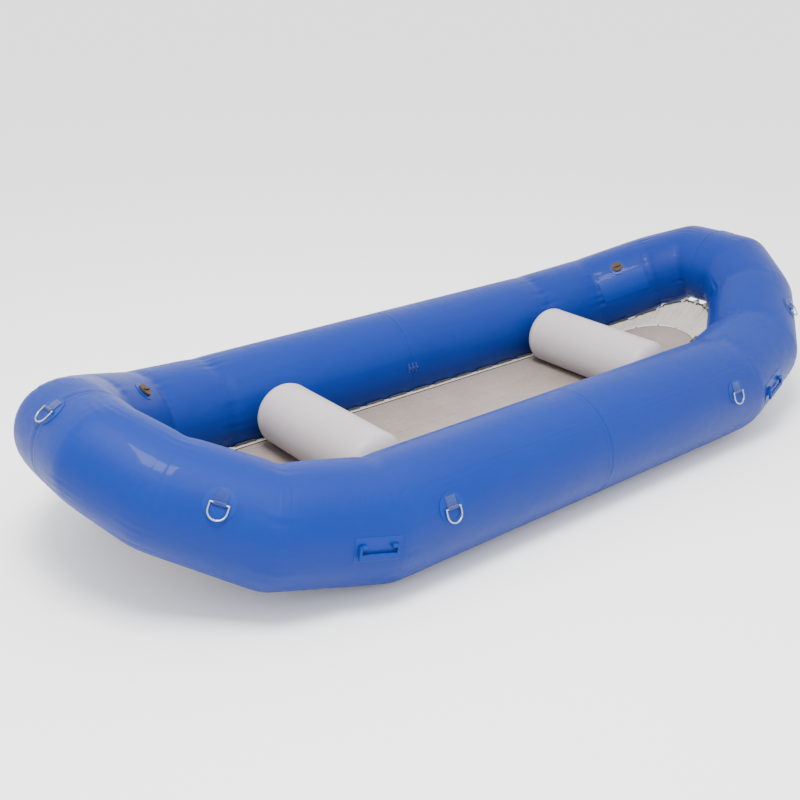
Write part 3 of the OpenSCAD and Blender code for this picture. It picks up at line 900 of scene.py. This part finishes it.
@dataclass
class TubeChamber:
    """One air chamber of the hull: mitred panels with taped seams and gathered mitres.

    Attributes:
        end: Its end of the raft.
        side: Its side of the raft.
        around: Points round the tube.
        bulkhead_gap: Half the thickness of the wall between chambers.
        seam_half: Half the width of a seam tape.
        tape_t: Thickness of a seam tape.
        pinch: Depth to which a mitre draws the skin in.
        pinch_reach: How far from the mitre that is felt.
        gather: Depth of the gathers beside a mitre.
        gather_reach: How far they run.
        gather_counts: Gathers round the tube in each of the sets that add up.
        calm: Share of the pinch and gathers that the first mitre loses outboard.
        calm_angle: Where round the tube that is, in degrees.
        calm_reach: How far round the tube it goes, in degrees.
        seam_dip: Depth of the dip in the middle of a bulkhead's seam.
        seam_dip_reach: How far from the seam that is felt.
        coarse: Usual step along a panel.
        soften: How far on each side air pressure rounds a mitre.
    """

    end: End
    side: Side
    around: int = 224
    bulkhead_gap: float = 0.00075
    seam_half: float = 0.019
    tape_t: float = 0.0004
    pinch: float = 0.003
    pinch_reach: float = 0.035
    gather: float = 0.0055
    gather_reach: float = 0.07
    gather_counts: tuple[int, ...] = (19, 26, 33, 41)
    calm: float = 0.9
    calm_angle: float = 6.0
    calm_reach: float = 26.0
    seam_dip: float = 0.0012
    seam_dip_reach: float = 0.01
    coarse: float = 0.034
    soften: float = 0.020

    def name(self) -> str:
        """The CAD node that the chamber stands for."""
        return f"tube_{self.end.name.lower()}_{self.side.name.lower()}"

    def steps(self, i: int) -> np.ndarray:
        """Distances along panel i at which the skin has a ring.

        Args:
            i: The panel.

        Returns:
            Distances from the panel's start, in metres.
        """
        edge = self.seam_half
        near = [0, 0.003, 0.007, 0.012, edge - 0.001, edge + 0.001, 0.026, 0.034, 0.044, 0.058,
                0.075, 0.095]
        length = HULL.length(i)
        middle = np.arange(near[-1] + self.coarse, length - near[-1] - self.coarse / 2, self.coarse)
        return np.array([*near, *middle, *[length - s for s in reversed(near)]])

    def seam_relief(
        self, i: int, distance: np.ndarray, rays: np.ndarray, angles: np.ndarray, mitre: int
    ) -> np.ndarray:
        """How far the skin stands out or in beside one mitre.

        Args:
            i: The panel; not used.
            distance: Distance of each ring from the mitre.
            rays: The direction of each point round the tube.
            angles: The angle of each point round the tube.
            mitre: The mitre's number.

        Returns:
            Heights, as rings by points round the tube.
        """
        tape = np.where(distance < self.seam_half, self.tape_t, 0.0)[:, None]
        if mitre in (HULL.SIDE, HULL.NOSE + 1):
            dip = -self.seam_dip * bump_at(distance, self.seam_dip_reach)[:, None]
            return (tape + dip) * np.ones_like(angles)
        rng = np.random.default_rng(SEED + 10 * mitre + 3 * self.end.value + self.side.value)
        inner = rays @ HULL.bend(mitre)
        outboard = bump_at(np.degrees(angles) - self.calm_angle, self.calm_reach)
        calm = 1 - self.calm * outboard * (mitre == 1)
        pinch = -self.pinch * (0.5 + np.clip(inner, 0, 1)) * calm
        waves = sum(
            rng.uniform(0.5, 1.0) * np.cos(k * angles + rng.uniform(0, math.tau))
            for k in self.gather_counts
        )
        patchy = np.clip(
            0.45 + 0.55 * np.cos(3 * angles + rng.uniform(0, math.tau))
            + 0.3 * np.cos(7 * angles + rng.uniform(0, math.tau)), 0.05, 1
        )
        dip = 0.22 * waves - 0.5
        gather = self.gather * dip * patchy * calm * (0.5 + 0.8 * np.clip(inner, 0, 1))
        fade = bump_at(distance, self.pinch_reach)[:, None]
        run = np.exp(-((distance / self.gather_reach) ** 1.5))[:, None]
        return tape + fade * pinch + run * gather

    def rounded(self, points: np.ndarray) -> np.ndarray:
        """Rounds the mitres, as air pressure does, and leaves both ends in place.

        Args:
            points: The skin's points, as rings by points round the tube by three.

        Returns:
            The rounded points.
        """
        hop = np.linalg.norm(np.diff(points.mean(1), axis=0), axis=1)
        place = np.concatenate([[0], np.cumsum(hop)])
        weight = np.gradient(place) * np.exp(
            -((place[:, None] - place[None]) ** 2) / (2 * self.soften**2)
        )
        weight /= weight.sum(1, keepdims=True)
        drift = weight @ place - place
        way = np.gradient(points, place, axis=0)
        smooth = np.tensordot(weight, points, 1) - way * drift[:, None, None]
        calm = np.minimum(place, place[-1] - place) > 3 * self.soften
        return np.where(calm[:, None, None], smooth, points)

    def skin(self) -> np.ndarray:
        """The skin's points, as rings by points round the tube by three."""
        angles = np.linspace(0, math.tau, self.around + 1)
        rings, reliefs = [], []
        for i in range(HULL.NOSE + 1):
            rays = HULL.rays(i, angles)
            first = HULL.cut(i, rays, 0, HULL.first_plane(i, self.bulkhead_gap))
            last = HULL.cut(i, rays, 0, HULL.last_plane(i, self.bulkhead_gap))
            length = HULL.length(i)
            steps = self.steps(i)
            relief = self.seam_relief(i, steps, rays, angles, i)
            relief = relief + self.seam_relief(i, length - steps, rays, angles, i + 1)
            share = (steps / length)[:, None, None]
            start = 0 if i == 0 else 1
            rings.append((first + (last - first) * share)[start:])
            reliefs.append((rays * relief[:, :, None])[start:])
        points = self.rounded(np.concatenate(rings)) + np.concatenate(reliefs)
        points[:, -1] = points[:, 0]
        return points * [self.end.value, self.side.value, 1]

    def build(self, paint: Paintshop) -> bpy.types.Object:
        """Makes the chamber.

        Args:
            paint: Where it is dressed.

        Returns:
            The piece.
        """
        piece = grid_piece(self.name() + "_skin", self.skin())
        heal(piece)
        close_holes(piece)
        heal(piece)
        paint.dress(piece, TUBE_BLUE)
        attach(piece, "hull")
        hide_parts(self.name())
        return piece


# ---- floor ----


@dataclass
class InflatedFloor:
    """The I-beam floor: a flat air mattress with lengthwise channels and rounded ends.

    Attributes:
        top_z: Height of its upper face amidships.
        thickness: Its thickness.
        half_w: Half its width.
        round_x: Where it starts to round.
        end_l: Length of each rounded end.
        channels: How many lengthwise channels it has.
        groove: Depth of the grooves between channels.
        shoulder: Radius of its rounded rim.
        cross_wrinkle: Depth of the soft wrinkles across it.
        wrinkles: How many of those there are.
        inset: How far the drawn skin lies inside the CAD floor's faces.
        around: Points round each row of the skin.
        rows: Rows from the middle line to the shoulder.
    """

    top_z: float = 0.122
    thickness: float = 0.100
    half_w: float = 0.456
    round_x: float = 1.060
    end_l: float = 0.623
    channels: int = 8
    groove: float = 0.0012
    shoulder: float = 0.022
    cross_wrinkle: float = 0.0024
    wrinkles: int = 16
    inset: float = 0.0006
    around: int = 560
    rows: int = 46

    def rise(self, x: np.ndarray) -> np.ndarray:
        """How much the floor's ends rise with the tubes.

        Args:
            x: Places along the raft.

        Returns:
            The rise at each place.
        """
        path = np.array(HULL.path()[:-1])
        return np.interp(np.abs(x), path[:, 0], path[:, 2] - HULL.tube_r)

    def outline(self, share: np.ndarray, t: np.ndarray) -> tuple[np.ndarray, np.ndarray]:
        """A closed loop round the floor, drawn in to a share of its size.

        Args:
            share: 1 at the rim and 0 on the middle line, one for each row.
            t: Place round the loop, 0 to 1, one for each column.

        Returns:
            x and y, as rows by columns.
        """
        straight = self.round_x
        arc = math.pi / 2 * (self.end_l + self.half_w) / 2
        whole = 4 * (straight + arc)
        s = (t * whole) % whole
        quarter = whole / 4
        k = np.floor(s / quarter).astype(int)
        u = s - k * quarter
        u = np.where(k % 2 == 1, quarter - u, u)
        sx = np.where(k >= 2, -1.0, 1.0)
        sy = np.where((k == 1) | (k == 2), -1.0, 1.0)
        turn = np.clip((u - straight) / arc, 0, 1) * math.pi / 2
        x = np.minimum(u, straight)
        x = x + self.end_l * np.sin(turn) * share[:, None]
        y = self.half_w * np.cos(turn) * share[:, None]
        return sx * x, sy * y

    def crease(self, x: np.ndarray, y: np.ndarray) -> np.ndarray:
        """How far the upper skin dips below its flat level.

        Args:
            x: Places along the raft.
            y: Places across it.

        Returns:
            Depths, 0 or more.
        """
        pitch = 2 * self.half_w / self.channels
        depth = self.groove * np.cos(math.pi * y / pitch) ** 8
        rng = np.random.default_rng(SEED)
        for _ in range(self.wrinkles):
            at, lean = rng.uniform(-1.5, 1.5), rng.uniform(-0.25, 0.25)
            size, reach = rng.uniform(0.3, 1.0), rng.uniform(0.1, 0.35)
            centre = rng.uniform(-0.35, 0.35)
            line = bump_at(x - at - lean * y, rng.uniform(0.008, 0.018))
            depth = depth + self.cross_wrinkle * size * line * bump_at(y - centre, reach)
        return depth

    def face(self, up: float, t: np.ndarray) -> np.ndarray:
        """One face of the floor, from its middle line to its rim.

        Args:
            up: 1 for the upper face and -1 for the lower one.
            t: Places round the loop.

        Returns:
            Points, as rows from the middle outwards by columns.
        """
        turn = np.linspace(0, math.pi / 2, 8)
        inner = np.concatenate([[0], np.linspace(0.02, 1 - self.shoulder / self.half_w, self.rows)])
        shoulder = 1 - self.shoulder / self.half_w * (1 - np.sin(turn[1:]))
        share = np.concatenate([inner, shoulder])
        x, y = self.outline(share, t)
        drop = np.concatenate([np.zeros(len(inner)), self.shoulder * (1 - np.cos(turn[1:]))])
        half = self.thickness / 2
        centre = self.top_z - half + self.rise(x)
        fade = np.clip((1 - share) * 9, 0, 1)[:, None]
        z = centre + up * (half - drop[:, None] - self.crease(x, y) * fade - self.inset)
        return np.stack([x, y, z], -1)

    def build(self, paint: Paintshop) -> bpy.types.Object:
        """Makes the floor.

        Args:
            paint: Where it is dressed.

        Returns:
            The piece.
        """
        t = np.linspace(0, 1, self.around + 1)
        top = self.face(1, t)
        bottom = self.face(-1, t)[::-1]
        piece = grid_piece("floor_skin", np.concatenate([top, bottom]))
        heal(piece, smooth_deg=50)
        paint.dress(piece, FLOOR_BEIGE)
        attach(piece, "hull")
        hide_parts("floor_shell")
        return piece


FLOOR = InflatedFloor()


# ---- lacing flap and rope ----


@dataclass
class Lacing:
    """The flap that joins the floor to the tubes, and the rope laced through it.

    Attributes:
        glue_w: Width of the flap that is glued on the floor's rim.
        flap_t: The CAD flap's thickness.
        sheet_t: The drawn sheet's thickness.
        rope_r: Radius of the rope.
        rope_rest: How far the rope stands off the pleats.
        side_angle: Where the flap's edge meets the side tube, in degrees round the tube.
        angle_step: More turn of that place for each panel of the kick.
        stitches: Stitches on each panel of a quarter.
        scallop: Share by which the edge dips between two peaks.
        pleat: Height of the pleats.
        side_fullness: Share of that height along the straight sides.
        sag: How far the flap hangs between floor and tube.
        lip: How far in from the rim the flap leaves the floor.
        floor_room: Room between the sheet and the floor.
        tube_room: Room between the CAD flap and the tube.
        flap_steps: Rows of the sheet in each stitch.
        rope_room: Least distance of the rope's middle from the flap's edge.
        rope_inset: And that distance as a share of a wide flap.
        dive_at: Where the rope starts down, from a stitch's middle as a share of the stitch.
        dive_w: Share of the stitch that its way down takes.
        rope_steps: Rings of the rope in each stitch.
        rope_sides: Points round the rope.
    """

    glue_w: float = 0.014
    flap_t: float = 0.002
    sheet_t: float = 0.0014
    rope_r: float = 0.0045
    rope_rest: float = 0.002
    side_angle: float = 211.0
    angle_step: float = 8.5
    stitches: tuple[int, ...] = (7, 2, 2, 1, 1)
    scallop: float = 0.13
    pleat: float = 0.0075
    side_fullness: float = 0.35
    sag: float = 0.004
    lip: float = 0.002
    floor_room: float = 0.0012
    tube_room: float = 0.001
    flap_steps: int = 14
    rope_room: float = 0.0076
    rope_inset: float = 0.16
    dive_at: float = 0.31
    dive_w: float = 0.08
    rope_steps: int = 20
    rope_sides: int = 12

    def angle(self, i: int, t: float) -> float:
        """The angle of the flap's edge on panel i, in radians."""
        more = 0 if i == HULL.SIDE else i - 1 + min(t, 0.5 if i == HULL.NOSE else 1)
        return math.radians(self.side_angle + self.angle_step * more)

    def tube_edge(self, i: int, t: float) -> np.ndarray:
        """A point of the flap's edge on the tube.

        Args:
            i: The panel.
            t: Place along it, 0 to 1.

        Returns:
            The point.
        """
        rays = HULL.upright_rays(i, np.array([self.angle(i, t)]))
        lift = self.flap_t + self.tube_room
        first = HULL.cut(i, rays, lift, HULL.first_plane(i, 0))[0]
        last = HULL.cut(i, rays, lift, HULL.last_plane(i, 0))[0]
        return first + (last - first) * t

    def rim(self, p: np.ndarray, draw: float) -> np.ndarray:
        """The place on the floor's rim opposite a point on the tube.

        Args:
            p: The point on the tube.
            draw: How far in from the rim.

        Returns:
            The point, just above the floor.
        """
        if p[0] < FLOOR.round_x:
            return np.array([p[0], FLOOR.half_w - draw, FLOOR.top_z])
        a = math.atan2(p[1] / FLOOR.half_w, (p[0] - FLOOR.round_x) / FLOOR.end_l)
        x = FLOOR.round_x + (FLOOR.end_l - draw) * math.cos(a)
        y = (FLOOR.half_w - draw) * math.sin(a)
        return np.array([x, y, FLOOR.top_z + float(FLOOR.rise(np.array(x)))])

    def stations(self, per_stitch: int) -> list[tuple[int, float, float, int]]:
        """Places along one quarter.

        Args:
            per_stitch: How many in each stitch.

        Returns:
            For each place its panel, its share along it, its share of the stitch, and the
            stitch's number.
        """
        found, number = [], 0
        for i, count in enumerate(self.stitches):
            for k in range(count):
                for j in range(per_stitch):
                    u = (j + 0.5) / per_stitch
                    found.append((i, (k + u) / count, u, number))
                number += 1
        return found

    @staticmethod
    def all_round(quarter: np.ndarray) -> np.ndarray:
        """Carries one quarter's points round the whole raft.

        Args:
            quarter: Points in order, from port midships to the middle of the bow.

        Returns:
            The closed loop's points in order.
        """
        parts = [
            quarter,
            quarter[::-1] * [1, -1, 1],
            quarter * [-1, -1, 1],
            quarter[::-1] * [-1, 1, 1],
        ]
        return np.concatenate(parts)

    def flap_row(self, place: tuple[int, float, float, int], phases: np.ndarray) -> np.ndarray:
        """One line of the flap, from the floor out to the tube.

        Args:
            place: A station.
            phases: A phase for each stitch's pleats.

        Returns:
            The line's points.
        """
        i, t, u, number = place
        outer = self.tube_edge(i, t)
        inner = self.rim(outer, self.glue_w)
        lip = self.rim(outer, self.lip)
        dip = self.scallop * math.sin(math.pi * u) ** 2
        edge = inner + (outer - inner) * (1 - dip)
        lift = self.floor_room + self.sheet_t
        row = [inner + [0, 0, lift], lip + [0, 0, lift]]
        way = edge - lip
        along = np.array([-way[1], way[0], 0])
        up = unit(np.cross(unit(way), unit(along)))
        up = up if up[2] > 0 else -up
        fullness = 1.0 if i > HULL.SIDE else self.side_fullness
        for share in np.linspace(0.1, 1, 12):
            wave = math.cos(math.tau * 3 * u + phases[number])
            wave += 0.6 * math.cos(math.tau * 5 * u + 2.1 * phases[number])
            height = self.pleat * fullness * wave * (share ** 0.8) * (1.15 - share)
            hang = self.sag * math.sin(math.pi * share) * fullness
            row.append(lip + way * share + [0, 0, lift * (1 - share)] + up * (height - hang))
        return np.array(row)

    def build_flap(self, paint: Paintshop) -> bpy.types.Object:
        """Makes the pleated flap.

        Args:
            paint: Where it is dressed.

        Returns:
            The piece.
        """
        rng = np.random.default_rng(SEED)
        phases = rng.uniform(0, math.tau, sum(self.stitches))
        rows = [self.flap_row(place, phases) for place in self.stations(self.flap_steps)]
        columns = [self.all_round(np.array([row[k] for row in rows])) for k in range(len(rows[0]))]
        places = np.stack(columns, 1)
        places = np.concatenate([places, places[:1]])
        piece = grid_piece("lacing_flap_sheet", places)
        heal(piece, smooth_deg=60)
        apply_modifier(piece, "SOLIDIFY", thickness=self.sheet_t, offset=0.0)
        paint.dress(piece, FLAP_WHITE)
        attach(piece, "hull")
        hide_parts("lacing_flap")
        return piece

    def rope_line(self) -> np.ndarray:
        """The rope's centre line, over the flap and under it at each peak.

        Returns:
            The closed line's points.
        """
        points = []
        for i, t, u, _ in self.stations(self.rope_steps):
            outer = self.tube_edge(i, t)
            inner = self.rim(outer, self.glue_w)
            inset = self.rope_room / float(np.linalg.norm(outer - inner))
            place = 1 - max(inset, self.rope_inset)
            over = np.clip((abs(u - 0.5) - self.dive_at) / self.dive_w, 0, 1)
            over = 1 - 2 * over * over * (3 - 2 * over)
            lift = self.flap_t / 2 + over * (self.rope_r + self.flap_t / 2 + self.rope_rest)
            points.append(inner + (outer - inner) * place + [0, 0, lift])
        return self.all_round(np.array(points))

    def build_rope(self, paint: Paintshop) -> bpy.types.Object:
        """Makes the laced rope.

        Args:
            paint: Where it is dressed.

        Returns:
            The piece.
        """
        line = self.rope_line()
        LOG.info("lacing rope: %.2f m long", loop_length(line))
        way = unit(np.roll(line, -1, 0) - np.roll(line, 1, 0))
        across = unit(np.cross(way, [0, 0, 1]))
        over = np.cross(across, way)
        turn = np.linspace(0, math.tau, self.rope_sides + 1)
        rings = (
            line[:, None]
            + self.rope_r * across[:, None] * np.cos(turn)[None, :, None]
            + self.rope_r * over[:, None] * np.sin(turn)[None, :, None]
        )
        rings[:, -1] = rings[:, 0]
        rings = np.concatenate([rings, rings[:1]])
        piece = grid_piece("lacing_rope_braid", rings)
        heal(piece, smooth_deg=70)
        paint.dress(piece, ROPE_BLACK)
        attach(piece, "hull")
        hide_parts("lacing_rope")
        return piece


# ---- thwarts ----


@dataclass
class Thwart:
    """An inflated cross tube with domed ends that gather into a puckered pole.

    Attributes:
        node: The CAD node that it stands for.
        radius: Radius of the tube.
        dome: Depth of each domed end.
        folds: How many gathers meet at each pole.
        fold_h: Height of the gathers.
        fold_r: Distance from the pole at which they stand highest.
        pucker: Depth of the dimple at the pole.
        pucker_r: And its radius.
        tape_t: Height of the tape round each domed end's seam.
        around: Points round the tube.
    """

    node: str
    radius: float = 0.154
    dome: float = 0.077
    folds: int = 13
    fold_h: float = 0.0032
    fold_r: float = 0.022
    pucker: float = 0.006
    pucker_r: float = 0.011
    tape_t: float = 0.0007
    around: int = 160

    def profile(self, half: float) -> list[tuple[float, float]]:
        """The thwart's outline from its middle to one pole.

        Args:
            half: Half its length.

        Returns:
            Pairs of radius and distance from the middle.
        """
        straight = half - self.dome
        body = [(self.radius, s) for s in np.linspace(0, straight - 0.02, 9)]
        seam = [
            (self.radius, straight - 0.012),
            (self.radius + self.tape_t, straight - 0.0105),
            (self.radius + self.tape_t, straight + 0.0005),
            (self.radius - 0.0002, straight + 0.003),
        ]
        turns = np.linspace(math.radians(5), math.radians(88.5), 30)
        cap = [(self.radius * math.cos(a), straight + self.dome * math.sin(a)) for a in turns]
        return body + seam + cap

    def build(self, paint: Paintshop) -> bpy.types.Object:
        """Makes the thwart by drawing a ring out step by step, then gathering its poles.

        Args:
            paint: Where it is dressed.

        Returns:
            The piece.
        """
        low, high = (np.array(p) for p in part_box(self.node))
        centre = (low + high) / 2
        half = (high[1] - low[1]) / 2
        outline = self.profile(half)
        select_none()
        bpy.ops.mesh.primitive_circle_add(
            vertices=self.around, radius=self.radius, fill_type="NOTHING",
            location=tuple(centre), rotation=(math.pi / 2, 0, 0),
        )
        piece = bpy.context.object
        piece.name = piece.data.name = self.node + "_tube"
        bpy.ops.object.transform_apply(location=True, rotation=True, scale=True)
        bpy.ops.object.mode_set(mode="EDIT")
        bpy.ops.mesh.select_all(action="SELECT")
        for (r0, s0), (r1, s1) in zip(outline, outline[1:]):
            bpy.ops.mesh.extrude_region_move(TRANSFORM_OT_translate={"value": (0, s1 - s0, 0)})
            bpy.ops.transform.resize(
                value=(r1 / r0, 1, r1 / r0), center_override=(centre[0], centre[1] + s1, centre[2])
            )
        bpy.ops.mesh.edge_face_add()
        bpy.ops.object.mode_set(mode="OBJECT")
        apply_modifier(
            piece, "MIRROR", use_axis=(False, True, False), use_clip=False, merge_threshold=MERGE
        )
        self.gather(piece, centre, half)
        heal(piece, smooth_deg=50)
        paint.dress(piece, THWART_GREY)
        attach(piece, "hull")
        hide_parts(self.node)
        return piece

    def gather(self, piece: bpy.types.Object, centre: np.ndarray, half: float) -> None:
        """Puckers both poles and slackens the skin a little.

        Args:
            piece: The thwart.
            centre: Its middle.
            half: Half its length.
        """
        points = points_of(piece)
        d = points - centre
        r = np.hypot(d[:, 0], d[:, 2])
        angle = np.arctan2(d[:, 2], d[:, 0])
        near = np.clip((np.abs(d[:, 1]) - (half - self.dome)) / self.dome, 0, 1)
        rng = np.random.default_rng(SEED + len(self.node))
        folds = np.zeros(len(points))
        for k in (self.folds, self.folds + 4, self.folds + 9):
            folds += rng.uniform(0.5, 1) * np.cos(k * angle + rng.uniform(0, math.tau))
        star = bump_at(r - self.fold_r, 0.05) * near * self.fold_h * 0.5 * folds
        pucker = -self.pucker * bump_at(r, self.pucker_r) * (near > 0.5)
        points[:, 1] += np.sign(d[:, 1]) * (star - self.fold_h * near * 0.6 + pucker)
        move_points(piece, points)


# ---- the scene round the raft ----


@dataclass(frozen=True)
class Studio:
    """The ground, the light and the camera.

    Attributes:
        camera_at: The camera's place.
        azimuth: The direction of its view in plan, in radians.
        tilt: How far it looks down, in radians.
        lens: Its focal length in millimetres.
        sensor: The sensor's width in millimetres.
        ground_w: Side of the pale ground.
        ground_white: How white it is.
        sky: Strength of the bright surroundings.
        key_at: Where the soft light hangs.
        key_w: Its side.
        key_power: Its power in watts.
        key_aim: What it faces.
    """

    camera_at: tuple[float, float, float] = (3.266, 3.544, 2.309)
    azimuth: float = -2.24415
    tilt: float = 0.40719
    lens: float = 46.46
    sensor: float = 36.0
    ground_w: float = 400.0
    ground_white: float = 0.95
    sky: float = 2.2
    key_at: tuple[float, float, float] = (2.2, 1.6, 6.0)
    key_w: float = 2.2
    key_power: float = 650.0
    key_aim: tuple[float, float, float] = (0.0, 0.0, 0.3)

    def add_camera(self) -> None:
        """Adds the camera and makes it the scene's own."""
        data = bpy.data.cameras.new("studio_camera")
        data.lens, data.sensor_width = self.lens, self.sensor
        camera = bpy.data.objects.new("studio_camera", data)
        bpy.context.scene.collection.objects.link(camera)
        level = math.cos(self.tilt)
        view = Vector(
            (math.cos(self.azimuth) * level, math.sin(self.azimuth) * level, -math.sin(self.tilt))
        )
        camera.location = self.camera_at
        camera.rotation_euler = view.to_track_quat("-Z", "Y").to_euler()
        bpy.context.scene.camera = camera

    def add_ground(self) -> None:
        """Adds the pale ground."""
        select_none()
        bpy.ops.mesh.primitive_plane_add(size=self.ground_w, location=(0, 0, -0.001))
        plane = bpy.context.object
        plane.name = "studio_floor"
        material = bpy.data.materials.new("studio_floor")
        material.use_nodes = True
        shader = material.node_tree.nodes["Principled BSDF"]
        shader.inputs["Base Color"].default_value = rgb(*[self.ground_white] * 3)
        shader.inputs["Roughness"].default_value = 0.9
        shader.inputs["Specular IOR Level"].default_value = 0.1
        plane.data.materials.append(material)

    def add_light(self) -> None:
        """Adds the square soft light."""
        data = bpy.data.lights.new("key_light", "AREA")
        data.size, data.energy = self.key_w, self.key_power
        light = bpy.data.objects.new("key_light", data)
        bpy.context.scene.collection.objects.link(light)
        light.location = self.key_at
        aim = Vector(self.key_aim) - Vector(self.key_at)
        light.rotation_euler = aim.to_track_quat("-Z", "Y").to_euler()

    def add_surroundings(self) -> None:
        """Adds the bright surroundings."""
        world = bpy.data.worlds.new("studio_world")
        bpy.context.scene.world = world
        world.use_nodes = True
        background = world.node_tree.nodes["Background"]
        background.inputs["Color"].default_value = rgb(1.0, 1.0, 1.0)
        background.inputs["Strength"].default_value = self.sky

    def build(self) -> None:
        """Adds everything that isn't the raft."""
        self.add_camera()
        self.add_ground()
        self.add_surroundings()
        self.add_light()


def main() -> None:
    """Builds the raft's visible pieces, dresses them and sets up the studio."""
    logging.basicConfig(level=logging.INFO, format="%(message)s")
    Studio().build()
    paint = Paintshop()
    paint.dress_cad_nodes()
    builders: list[Callable[[Paintshop], bpy.types.Object]] = [
        TubeChamber(end, side).build for end in End for side in Side
    ]
    lacing = Lacing()
    builders += [FLOOR.build, lacing.build_flap, lacing.build_rope]
    builders += [Thwart("thwart_bow").build, Thwart("thwart_stern").build]
    for build in builders:
        piece = build(paint)
        LOG.info("%s: %d faces", piece.name, len(piece.data.polygons))


if __name__ == "__main__":
    main()
